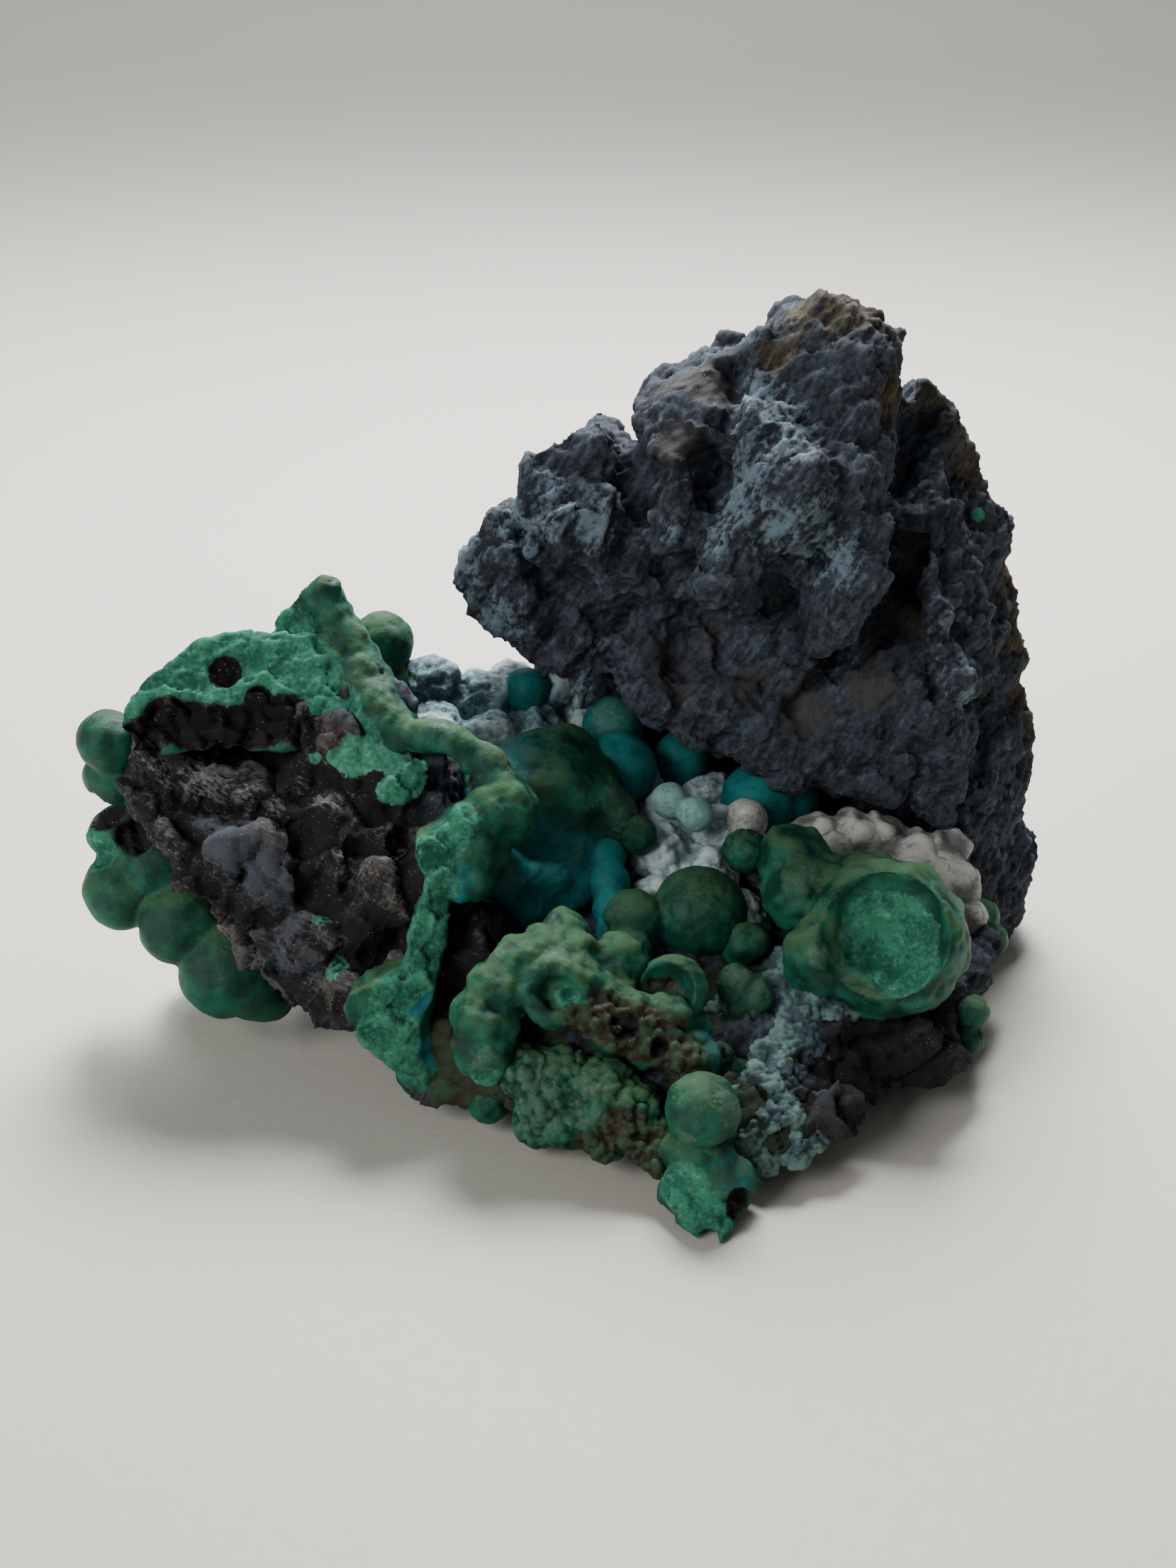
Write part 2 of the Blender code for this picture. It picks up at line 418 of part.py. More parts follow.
MINT_BAND = [
    # the band's left and right edge, from its top to its foot
    ((-10.0, -9.6, 22.2), (-8.9, -9.8, 21.4)), ((-11.1, -10.8, 21.5), (-9.5, -10.6, 20.5)),
    ((-12.5, -12.2, 21.4), (-9.8, -11.6, 19.7)), ((-12.6, -12.8, 20.6), (-9.9, -12.2, 18.7)),
    ((-11.6, -13.0, 18.7), (-10.1, -12.6, 17.5)), ((-12.0, -13.6, 17.2), (-10.1, -13.2, 16.3)),
    ((-12.8, -14.2, 15.7), (-10.2, -13.8, 15.0)), ((-13.1, -14.8, 14.2), (-10.6, -14.2, 13.4)),
    ((-13.3, -15.6, 12.8), (-10.8, -15.0, 12.5)), ((-15.5, -16.8, 12.4), (-11.1, -15.8, 11.8)),
    ((-17.3, -17.4, 11.8), (-11.2, -16.6, 10.7)), ((-17.6, -17.6, 10.0), (-12.0, -17.0, 9.3)),
    ((-17.0, -17.4, 8.3), (-13.4, -17.0, 7.4)), ((-15.7, -17.0, 6.6), (-14.5, -16.8, 6.3)),
]
MINT_LOBE = [
    (-15.3, -7.6, 23.5), (-14.3, -7.0, 24.7), (-12.9, -6.2, 25.7), (-11.7, -6.2, 25.0), (-11.8, -6.8, 23.5),
    (-12.3, -7.4, 22.5), (-14.5, -8.4, 22.1), (-15.0, -8.2, 22.6), (-13.5, -5.0, 24.2),
]
FLOOR_CRUST = [
    (-13.0, 11.5, 23.0, 2.8), (-12.6, 7.4, 20.8, 2.8), (-8.6, 11.5, 21.8, 2.8), (-8.0, 7.0, 19.8, 2.9),
    (-4.4, 9.5, 19.6, 2.8), (-1.0, 10.6, 18.2, 2.8), (3.6, 7.0, 16.2, 2.8), (6.6, 3.4, 14.8, 2.8),
    (5.8, -0.4, 13.8, 2.6), (9.4, -1.4, 12.6, 2.6), (10.6, 2.6, 13.6, 2.8), (9.6, 7.4, 14.4, 2.8),
    (14.0, 1.0, 12.6, 2.6), (11.6, -4.8, 10.8, 2.4), (7.0, -3.4, 11.4, 2.6), (5.0, -4.6, 11.8, 2.2),
]
RIGHT_CRUST = [
    (29.0, 3.4, 12.0, 2.1), (29.6, 1.0, 10.4, 2.0), (26.4, 3.2, 12.0, 2.3), (23.8, 4.0, 12.6, 2.4),
    (21.2, 3.8, 13.2, 2.4), (18.2, 3.2, 13.4, 2.1), (29.8, -1.2, 8.6, 1.9), (26.8, 0.8, 10.6, 2.3),
    (19.8, 1.4, 12.6, 2.0),
]
BLUE_DRUSE = [
    (15.0, -12.0, 8.8, 2.1), (14.8, -10.0, 9.2, 1.8), (16.0, -14.2, 8.0, 1.9), (14.6, -16.2, 6.6, 2.0),
    (13.4, -17.6, 6.4, 1.8), (14.6, -19.4, 5.6, 1.8), (14.2, -21.8, 4.6, 1.7), (12.6, -20.0, 6.0, 1.8),
    (16.8, -20.6, 4.6, 1.5),
]
BEADS = {
    "pale_beads": [(6.4, 1.0, 18.1, 1.45), (8.5, 0.0, 17.4, 1.4)],
    "white_bead": [(12.6, 1.6, 16.0, 1.75)],
    "green_bead_left": [(3.9, -2.0, 16.6, 1.5)],
    "green_bead_right": [(12.3, -2.0, 15.2, 1.8)],
    "teal_domes_left": [(2.4, 5.2, 18.7, 3.2), (2.0, 8.6, 21.0, 2.5)],
    "teal_dome_right": [(14.0, 6.0, 15.5, 3.2), (16.6, 7.0, 15.2, 2.4)],
    "dark_teal_dome": [(7.7, 9.0, 17.8, 2.4)],
    "far_teal_dome": [(-5.0, 11.0, 23.0, 2.0)],
}


# ---------------------------------------------------------------- making and welding shapes
def clear_scene():
    for old in list(bpy.data.objects):
        bpy.data.objects.remove(old)


def finish(name):
    material = bpy.data.materials.get(name)
    if material is None:
        material = bpy.data.materials.new(name)
        material.use_nodes = True
        colour, rough = FINISHES[name]
        surface = material.node_tree.nodes["Principled BSDF"]
        surface.inputs["Base Color"].default_value = (*colour, 1)
        surface.inputs["Roughness"].default_value = rough
        material.diffuse_color = (*colour, 1)
    return material


def boulder(corners):
    """A convex block through its corners."""
    bm = bmesh.new()
    for corner in corners:
        bm.verts.new(Vector(corner) * MM)
    hull = bmesh.ops.convex_hull(bm, input=bm.verts)
    inside = {v for v in hull["geom_interior"] + hull["geom_unused"] if isinstance(v, bmesh.types.BMVert)}
    bmesh.ops.delete(bm, geom=list(inside), context="VERTS")
    bmesh.ops.recalc_face_normals(bm, faces=bm.faces)
    return bm


def ball(x, y, z, radius):
    bm = bmesh.new()
    bmesh.ops.create_icosphere(bm, subdivisions=BALL_RINGS, radius=radius * MM)
    bmesh.ops.translate(bm, verts=bm.verts, vec=Vector((x, y, z)) * MM)
    return bm


def gathered(name, shells):
    """One object that holds several closed shells, which may pass through each other."""
    mesh = bpy.data.meshes.new(name)
    together = bmesh.new()
    for shell in shells:
        shell.to_mesh(mesh)
        together.from_mesh(mesh)
        shell.free()
    together.to_mesh(mesh)
    together.free()
    thing = bpy.data.objects.new(name, mesh)
    bpy.context.scene.collection.objects.link(thing)
    return thing


def shaped_by(thing, kind, **settings):
    """Puts a modifier on the object and keeps its result as the object's mesh."""
    modifier = thing.modifiers.new(kind.title(), kind)
    for setting, value in settings.items():
        setattr(modifier, setting, value)
    graph = bpy.context.evaluated_depsgraph_get()
    mesh = bpy.data.meshes.new_from_object(thing.evaluated_get(graph))
    thing.modifiers.clear()
    thing.data = mesh
    return thing


def welded(thing, grain):
    """One closed skin over all the shells, its points on a fine grid so that every build is alike."""
    shaped_by(thing, "REMESH", mode="VOXEL", voxel_size=grain * MM, adaptivity=0)
    for vertex in thing.data.vertices:
        vertex.co = [round(c, GRID_DECIMALS) for c in vertex.co]
    return thing


def crag(place):
    """The height of the flat, tilted face of broken rock that the place is on, from about -0.5 to 0.5."""
    bent = place + noise.noise_vector(place * 1.7) * 0.18
    (nearest, second, *_), (heart, *_) = noise.voronoi(bent)
    crack = max(0.0, CRACK_WIDTH - (second - nearest)) * CRACK_DEPTH
    return (bent - heart).dot(noise.cell_vector(heart)) * 0.8 + noise.cell(heart) * 0.2 - crack


def broken(place):
    lump = noise.fractal(place / LUMP_SPACING, 0.9, 2.0, 3) * LUMP_HEIGHT
    drawn = place - GRAIN_RUNS * (place.dot(GRAIN_RUNS) * GRAIN_DRAW)
    return lump + crag(drawn / CRAG_SPACING) * CRAG_HEIGHT


def cleft_depth(place):
    """How deep the clefts reach into the rock at this place, and how far it stands out, below zero."""
    depth = 0
    for width, deep, *course in CLEFTS.values():
        nearest = math.inf
        for start, end in zip(course[:-1], course[1:]):
            foot, share = intersect_point_line(place, start, end)
            foot = Vector(start) if share < 0 else Vector(end) if share > 1 else foot
            nearest = min(nearest, (place - foot).length)
        depth += deep * math.exp(-((nearest / width) ** 2))
    return min(max(depth, CLEFT_LIMITS[0]), CLEFT_LIMITS[1])


def evenness(place):
    """The share of the roughness that is left at this place, which is little on an even face."""
    inside = max(1 - (place - Vector(spot[:3])).length / spot[3] for spot in EVEN_FACE)
    return 1 - min(max(inside * 2.5, 0), EVEN_SHARE)


def roughened(thing):
    """Moves the rock's surface in and out by soft lumps, tilted faces and clefts."""
    mesh = thing.data
    normals = [v.normal.copy() for v in mesh.vertices]
    for vertex, normal in zip(mesh.vertices, normals):
        place = vertex.co / MM
        winding = place + noise.noise_vector(place / WANDER_SPACING) * WANDER
        lift = broken(place) * evenness(place) - cleft_depth(winding)
        vertex.co += normal * (lift * MM)
    mesh.update()
    return thing


def coarsened(thing, faces):
    mesh = thing.data
    triangles = sum(len(p.vertices) - 2 for p in mesh.polygons)
    if triangles > faces:
        shaped_by(thing, "DECIMATE", ratio=faces / triangles, use_collapse_triangulate=True)
    return thing


def swollen(thing, gap):
    """The object's shell, larger all round by the gap of its joint, to cut its seat with."""
    shell = bmesh.new()
    shell.from_mesh(thing.data)
    shell.normal_update()
    moves = [(vert, vert.normal * (gap * MM)) for vert in shell.verts]
    for vert, move in moves:
        vert.co += move
    return shell


def cut_by(thing, cutter):
    """Takes the cutter's shape out of the object, and keeps the largest body that is left."""
    shaped_by(thing, "BOOLEAN", operation="DIFFERENCE", solver="EXACT", object=cutter)
    bpy.data.objects.remove(cutter)
    return largest_body(thing)


def reach(verts):
    return [(min(v.co[i] for v in verts), max(v.co[i] for v in verts)) for i in range(3)]


def boxes_meet(shell, thing):
    pairs = zip(reach(shell.verts), reach(thing.data.vertices))
    return all(low < top and bottom < high for (low, high), (bottom, top) in pairs)


def largest_body(thing):
    """Drops the crumbs that a cut leaves loose."""
    bm = bmesh.new()
    bm.from_mesh(thing.data)
    left = set(bm.verts)
    bodies = []
    while left:
        body, edge = set(), [left.pop()]
        while edge:
            vert = edge.pop()
            body.add(vert)
            near = [e.other_vert(vert) for e in vert.link_edges]
            edge += [v for v in near if v in left]
            left.difference_update(near)
        bodies.append(body)
    bodies.sort(key=len)
    for crumb in bodies[:-1]:
        bmesh.ops.delete(bm, geom=list(crumb), context="VERTS")
    bm.to_mesh(thing.data)
    bm.free()
    return thing


def smooth_shaded(thing, finish_name):
    thing.data.materials.clear()
    thing.data.materials.append(finish(finish_name))
    thing.data.shade_smooth()
    thing.data.set_sharp_from_angle(angle=SHARP_ANGLE)


# ---------------------------------------------------------------- the pieces
def grown_mass(name, balls, blocks=()):
    shells = [ball(*b) for b in balls] + [boulder(b) for b in blocks]
    return welded(gathered(name, shells), BALL_GRAIN)


def broken_open(mass, bowls):
    """Takes the shape of balls that have fallen out of a mass from it."""
    return largest_body(welded(cut_by(mass, grown_mass("bowls", bowls)), BALL_GRAIN))


def strip(edges, thickness):
    """Blocks in a row that make a bent strip, from the places of its left and right edge."""
    ends = [[*edge, *((x, y + thickness, z) for x, y, z in edge)] for edge in edges]
    return [start + end for start, end in zip(ends, ends[1:])]


def ring(middle, radius, tube, faces, count):
    """Balls along a circle that faces one way."""
    turn = faces.to_track_quat("Z", "Y")
    steps = [2 * math.pi * step / count for step in range(count)]
    return [(*(middle + turn @ Vector((math.cos(a), math.sin(a), 0)) * radius), tube) for a in steps]


def front_arc():
    """The arc, with a small ball broken open in it down to a ring and a bead."""
    arc = broken_open(grown_mass("arc", ARC), ARC_BOWLS)
    shell = swollen(arc, 0)
    bpy.data.objects.remove(arc)
    inside = ring(RING_MIDDLE, RING_RADIUS, RING_TUBE, RING_FACES, RING_BALLS) + ARC_BEAD
    return welded(gathered("front_arc", [shell] + [ball(*b) for b in inside]), BALL_GRAIN)


def malachite_rim():
    """The chalky plate and horn over the left wall, and the ribbon and mint band that run down from them."""
    blocks = [RIM_HORN, RIM_PLATE, MINT_LOBE] + strip(MINT_BAND, BAND_THICKNESS)
    return grown_mass("malachite_rim", RIM_CHAIN, blocks)


def host_rock():
    thing = welded(gathered("host_rock", [boulder(b) for b in HOST_ROCK.values()]), ROCK_GRAIN)
    welded(roughened(thing), ROCK_GRAIN)
    return cut_by(thing, grown_mass("pockets", ROCK_POCKETS))


def pieces_in_order():
    """Small pieces first, because each is seated in those that come after it: object, finish, triangles."""
    made = [(grown_mass(name, balls), bead_finish(name), 84) for name, balls in BEADS.items()]
    made += [
        (grown_mass("round_ball", ROUND_BALL), "malachite", 140),
        (broken_open(grown_mass("half_disc", DISC), DISC_FACE), "malachite", 130),
        (grown_mass("green_grapes", GRAPES), "malachite", 220),
        (grown_mass("small_front_ball", SMALL_BALL), "malachite", 64),
        (grown_mass("chrysocolla_finger", FINGER), "teal_chrysocolla", 110),
        (grown_mass("centre_balls", CENTRE_BALLS), "malachite", 250),
        (grown_mass("side_lump", SIDE_LUMP), "malachite", 72),
        (broken_open(grown_mass("malachite_cup", CUP_LOBES), CUP_BOWL), "malachite", 420),
        (grown_mass("front_tip", FRONT_TIP, TIP_PLATES), "broken_malachite", 220),
        (front_arc(), "malachite", 500),
        (malachite_rim(), "broken_malachite", 640),
        (grown_mass("malachite_dome", DOME), "malachite", 300),
        (grown_mass("left_balls", LEFT_BALLS), "malachite", 380),
        (grown_mass("back_left_balls", BACK_LEFT), "malachite", 130),
        (grown_mass("right_green_lump", RIGHT_GREEN), "malachite", 64),
        (grown_mass("edge_green_lump", EDGE_GREEN), "malachite", 64),
        (grown_mass("front_druse", FRONT_DRUSE), "malachite", 300),
        (grown_mass("blue_druse", BLUE_DRUSE), "pale_chrysocolla", 280),
        (grown_mass("white_crust", RIGHT_CRUST), "white_crust", 220),
        (grown_mass("floor_crust", FLOOR_CRUST), "pale_chrysocolla", 360),
        (host_rock(), "host_rock", ROCK_FACES),
    ]
    return made


def bead_finish(name):
    for word in ("pale", "white", "teal"):
        if word in name:
            return {"white": "white_crust"}.get(word, word + "_chrysocolla")
    return "malachite"


def shells_near(thing, pieces, gap):
    """The larger shells of those pieces that reach the thing."""
    return [shell for shell in (swollen(piece, gap) for piece in pieces) if boxes_meet(shell, thing)]


def seated(thing, earlier, faces):
    """Cuts the seats of the earlier pieces, coarsens the thing, and trims what then bulges into a gap."""
    seats = shells_near(thing, earlier, JOINT_GAP)
    if seats:
        cut_by(thing, welded(gathered("seats", seats), BALL_GRAIN))
        largest_body(welded(thing, BALL_GRAIN))
    coarsened(thing, faces)
    for seat in shells_near(thing, earlier, LEAST_GAP):
        cut_by(thing, gathered("seat", [seat]))
    return thing


def trimmed_flat(thing):
    """Cuts off what would be below the surface that the specimen rests on."""
    if min(v.co.z for v in thing.data.vertices) < 0:
        sides = (-WORKING_BLOCK, WORKING_BLOCK)
        below = [(x, y, z) for x in sides for y in sides for z in (-WORKING_DEPTH, 0)]
        cut_by(thing, gathered("below", [boulder(below)]))


def centre_over_origin(pieces):
    points = [v.co for piece in pieces for v in piece.data.vertices]
    low = Vector(min(p[i] for p in points) for i in range(3))
    high = Vector(max(p[i] for p in points) for i in range(3))
    shift = Vector((-(low.x + high.x) / 2, -(low.y + high.y) / 2, -low.z))
    for piece in pieces:
        for vertex in piece.data.vertices:
            vertex.co += shift
    print("moved by", [round(c / MM, 2) for c in shift], "size", [round(c / MM, 1) for c in high - low])


clear_scene()
noise.seed_set(NOISE_SEED)
finished = []
for piece, finish_name, faces in pieces_in_order():
    trimmed_flat(seated(piece, finished, faces))
    smooth_shaded(piece, finish_name)
    finished.append(piece)
centre_over_origin(finished)
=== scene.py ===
import math

import bmesh
import bpy
import numpy as np
from mathutils import Matrix, Vector, noise


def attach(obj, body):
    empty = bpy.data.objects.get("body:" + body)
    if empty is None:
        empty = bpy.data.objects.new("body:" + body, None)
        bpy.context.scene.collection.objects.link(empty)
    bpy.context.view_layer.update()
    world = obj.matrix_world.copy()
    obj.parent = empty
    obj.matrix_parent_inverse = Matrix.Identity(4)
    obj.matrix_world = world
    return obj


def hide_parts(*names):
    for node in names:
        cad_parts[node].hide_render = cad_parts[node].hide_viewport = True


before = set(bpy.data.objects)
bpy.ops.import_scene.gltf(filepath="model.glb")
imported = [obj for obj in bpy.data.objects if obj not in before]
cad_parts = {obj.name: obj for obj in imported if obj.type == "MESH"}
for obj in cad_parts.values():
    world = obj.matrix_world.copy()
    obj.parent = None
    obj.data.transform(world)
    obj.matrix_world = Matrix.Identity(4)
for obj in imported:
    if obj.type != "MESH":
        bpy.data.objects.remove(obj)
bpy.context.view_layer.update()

# ==================================================================================== host rock
# One lump of dark, iron-stained rock. It was broken out of the vein, so its left wall is a fresh black
# fracture and its tall block is weathered slate blue, with ochre on the crest. A crust of dust and bloom
# lies on it. It is one solid that is shown as three pieces, cut where grown masses hide the cuts.
MIDDLE = Vector((0.45, 1.44, 0.0))
MM = 0.001
WELD, ROCK_GRAIN = 0.5, 0.31
NOISE_SEED = 7
# how far apart and how high each kind of relief is, and how far it is drawn out along the streaks
LUMP_SPACING, LUMP_HEIGHT = 7.0, 1.0
CRAG_SPACING, CRAG_HEIGHT, CRAG_DRAW = 4.2, 1.3, 0.45
CHIP_SPACING, CHIP_HEIGHT = 1.5, 0.34
WANDER_SPACING, WANDER = 3.0, 0.7
SLAB_SPACING, SLAB_HEIGHT = 4.6, 1.3
KNOB_SPACING, KNOB_HEIGHT = 0.85, 0.10
STREAK = Vector((0.52, 0.10, 0.85))
STREAK_SPACING, STREAK_HEIGHT, STREAK_DRAW = 0.8, 0.20, 0.78
GRIT_SPACING, GRIT_HEIGHT = 0.6, 0.14

# The convex lumps that the rock is welded from, each by its corners
HOST_ROCK = {
    "left_wall": [
        (-33, 0, 29), (-36, -5, 22.5), (-32, -8.5, 20), (-28.5, -10, 16.5), (-25, -12, 10.5),
        (-20.5, -15, 7), (-16, -15, 8.5), (-12.4, -14, 13.5), (-11.9, -12, 17.5), (-10, -8.5, 21),
        (-10.5, -4, 26), (-14, -1, 29), (-20, 1, 31.5), (-27, 1, 31), (-32, 6, 24), (-26, 9, 24),
        (-16, 12, 23), (-10, 4, 20), (-32, 4, 12), (-26, 2, 5), (-18, -6, 4), (-12, -10, 4), (-12, 6, 4),
        (-22, 10, 8),
    ],
    "hollow_floor": [
        (-12, 3, 17.6), (-16.4, 12.5, 24.6), (-8, 14, 22.4), (0, 14, 17.6), (8, 13, 14), (20, 11, 11),
        (30, 8, 9.5), (30, -2, 7.4), (20, -6, 8), (10, -6, 8.6), (0, -8, 9.4), (-10, -8, 12), (-4, 0, 0),
        (8, -8, 0), (28, 20, 0), (8, 20, 0), (-10, 12, 3),
    ],
    "front_floor": [
        (33, -3, 8), (31, 1, 9), (27.5, -12, 7.6), (16, -15, 8), (8, -17.5, 8.4), (0, -18.6, 9),
        (-8, -16.6, 9), (-12, -13, 10), (-8, -10, 11), (4, -8, 10), (14, -4, 9.6), (24, 2, 9.6),
        (-12, -14, 3.5), (-4, -20, 2.5), (6, -22, 3), (14, -19, 3.5), (24, -13, 2.5), (31, -5, 1),
        (33, 8, 0), (8, 8, 0), (-4, -6, 1),
    ],
    "pillar": [
        (11.2, 8, 48.6), (9.9, 4, 43.4), (8.6, 2.4, 39.4), (12.6, 11, 52.2), (14.6, 12, 53.4),
        (16.6, 13, 54.4), (19.4, 13, 54.8), (22, 13, 54.4), (23.4, 13, 53.2), (24.6, 13, 50.6),
        (23.5, 6.5, 44), (23, 3.6, 38.2), (15, 1.8, 43.6), (18, 2.4, 37.6), (20, 3.6, 46), (13, 27, 44),
        (22, 27, 46), (12, 20, 30), (22, 20, 28), (11, 6, 33), (16, 20, 53.4), (22, 20, 53.4),
    ],
    "knob_far_left": [
        (-11.2, 8.4, 33), (-10.4, 8.4, 35.7), (-7.6, 9.4, 39.3), (-6.2, 9, 38.6), (-5.8, 7, 36),
        (-10, 8.4, 30.6), (-6, 8.2, 27.8), (-3.2, 8.4, 24.8), (-8.6, 14, 35), (-4, 17, 38), (-3, 7.6, 31),
        (-6, 17, 29),
    ],
    "upper_left": [
        (-5.4, 7.4, 40.6), (-4.4, 9.4, 43.8), (-1.5, 10, 45.6), (1.5, 10, 45.9), (2.2, 7.6, 43.2),
        (1.3, 4.6, 37.2), (-1.9, 4.8, 37.6), (-4.6, 6.4, 37), (3.4, 12, 44.6), (4.4, 9, 42), (2, 20, 43),
        (-4, 17, 40), (4, 18, 34), (0, 12, 32),
    ],
    "left_flank": [
        (-4, 9, 36), (2, 6, 36), (6, 5, 34), (1.5, 6.6, 28), (-2, 8, 26.5), (6, 6.6, 27), (10, 7, 30),
        (6, 24, 40), (2, 11, 43.5), (7, 10, 44.5), (10, 9, 45), (12, 24, 42), (6, 24, 20), (-4, 19, 28),
        (10, 22, 18), (-2, 18, 36),
    ],
    "smooth_facet": [
        (3.3, 10.2, 46.3), (6.6, 10.6, 49.2), (8.5, 11.2, 50.5), (11.9, 11.6, 51.2), (10.6, 8.2, 48.4),
        (9.2, 5.4, 44.4), (6.4, 4.6, 44.6), (5.3, 4.8, 44.2), (4, 21, 45), (12, 21, 49),
    ],
    "knobs_below_facet": [
        (4.9, 3.8, 42.4), (7.8, 3.2, 44.3), (9, 3, 39.6), (8, 2.2, 37.6), (5.4, 2.6, 36.8), (4.6, 4.2, 38),
        (5, 9, 42), (10, 9, 40), (5, 9, 36),
    ],
    "nose": [
        (8, 1, 38.2), (7.9, 0.7, 35.9), (9.2, 0.8, 34.2), (11.5, 0.5, 33.3), (12.8, 1, 35.4),
        (13, 1.4, 38.4), (10, 1.2, 41), (8, 6, 40), (14, 6, 40), (9, 6, 34), (13, 6, 34),
    ],
    "ridge": [
        (23.7, 4.7, 42), (20.7, 1.9, 35.5), (18.1, 2.8, 30.3), (16.9, 4, 30.4), (18, 3, 38), (15, 4, 36),
        (22.6, 8, 40), (19.6, 9, 32), (16.6, 9, 32),
    ],
    "cave_wall": [
        (1.6, 6.4, 30.6), (8, 7.4, 28), (14, 6.4, 26.6), (3, 6.2, 35), (14, 6, 34), (21, 8.5, 32),
        (20, 8, 26), (4, 20, 34), (21, 20, 34), (4, 18, 25), (20, 18, 25),
    ],
    "cleft_wall": [
        (23.4, 13, 47.6), (26, 13.6, 45.8), (25, 9, 40), (23.6, 8, 34), (20.8, 7.4, 28), (22, 24, 46),
        (28, 24, 40), (20, 24, 28), (30, 12, 30), (27.6, 8.4, 30), (20, 8, 44),
    ],
    "hanging_blade": [
        (-3, 8, 26), (-1, 6.4, 22.5), (-0.2, 6.8, 22.7), (1.2, 6.8, 29.5), (-0.4, 7.4, 30), (-3, 9.5, 30),
        (-1, 10, 24.2), (2, 10, 27),
    ],
    "overhang": [
        (1.2, 6.2, 26), (6.5, 4.6, 23.4), (10.3, 4.4, 20.3), (15.9, 3.8, 18.9), (20.3, 3.6, 17.5),
        (24.7, 3.6, 16.4), (30, 4.2, 14), (30.3, 3.8, 22.4), (29.1, 3.6, 25.2), (26.7, 4, 30.2),
        (21.6, 2.2, 21.4), (14.6, 4.8, 26.2), (23.6, 5, 28), (4, 22, 26), (30, 24, 22), (8, 17, 21),
        (30, 20, 15),
    ],
    "right_crest": [
        (26.4, 3.9, 30.6), (29, 3.6, 25.6), (25.6, 9, 39), (26.4, 6.4, 36), (26, 13.5, 46), (30.4, 10, 36),
        (31, 6, 25), (24, 9, 33), (26, 20, 40), (33, 18, 32), (24, 12, 26),
    ],
    "right_flank": [
        (26.1, 15, 48.9), (28.7, 15, 46.1), (31.3, 15, 40.9), (33.5, 15, 37), (35.3, 15, 32.1),
        (36.9, 14, 24.9), (35.7, 14, 23.2), (24.6, 13, 47), (30.6, 7, 22), (31, 7, 16), (26, 27, 42),
        (33, 26, 30), (35, 24, 20), (24, 27, 14),
    ],
    "right_skirt": [
        (36.3, 14, 22.8), (37, 13.2, 20), (36.4, 13.2, 16.6), (37.4, 12.2, 12.8), (38.9, 10.8, 7.2),
        (36.4, 9.2, -3), (33.4, 5.8, -3), (33.1, 4.8, 5.4), (31.3, 4.8, 11.6), (31.4, 6, 18), (35, 22, -3),
        (27, 25, -3), (24, 10, -3), (34, 24, 16),
    ],
    "foot": [
        (2, 8, 2), (2, 8, -3), (33, 7, 5), (33, 7, -3), (2, 26, -3), (33, 25, -3), (6, 25, 30),
        (28, 26, 30), (8, 14, 24), (24, 12, 24), (33, 11, 22), (-6, 17, 14), (-6, 22, 8),
    ],
    "flake": [
        (14.5, -18, 7.6), (19.1, -17, 9.6), (28.1, -14, 7.2), (28.8, -14, 4.8), (26.6, -16, 2),
        (21.5, -18, 2.8), (17.1, -19, 4.5), (16, -10, 7), (28, -8, 6), (26, -9, 2), (18, -12, 2),
    ],
    "front_root": [
        (-17, -14.5, 5.5), (-12.4, -17, 1.8), (-8, -18.5, 1.6), (-8, -16, 9), (-14, -12.5, 9), (-4, -19, 8),
        (-2, -19, 3), (-6, -12, 2),
    ],
    "dark_patch": [
        (-10.4, -10.6, 15.4), (-6.8, -9.8, 14.9), (-5.6, -11.6, 13.2), (-10.3, -13, 12.8),
        (-7.2, -14, 12.5), (-12, -10, 8), (-5, -10, 8), (-11, -15, 8), (-6, -15.5, 8), (-8, -6, 12),
    ],
    "below_arc": [
        (-12.2, -16, 8.4), (-12.4, -15.4, 2), (-8.6, -16.6, 3.6), (-4.2, -16.2, 7.6), (-4.8, -17.2, 4),
        (-10, -16.6, 9), (-8, -12, 10), (-12, -10, 3), (-4, -12, 3), (-6.8, -16, 11),
    ],
    "right_tail": [
        (13.8, -25, 3), (16.4, -23.5, 3.4), (19.5, -21, 3), (19.3, -21, 5), (14.5, -19, 7.8), (9, -21, 7),
        (9, -22, 3), (17, -16, 3),
    ],
}
ROCK_POCKETS = [
    (-24.6, -3.5, 25.2, 1.9), (-23, -3, 26.4, 1.6), (-13.3, -8.5, 21.6, 1.5), (-12.2, -8, 22.6, 1.5),
    (-14, -9.5, 20, 1.1),
]
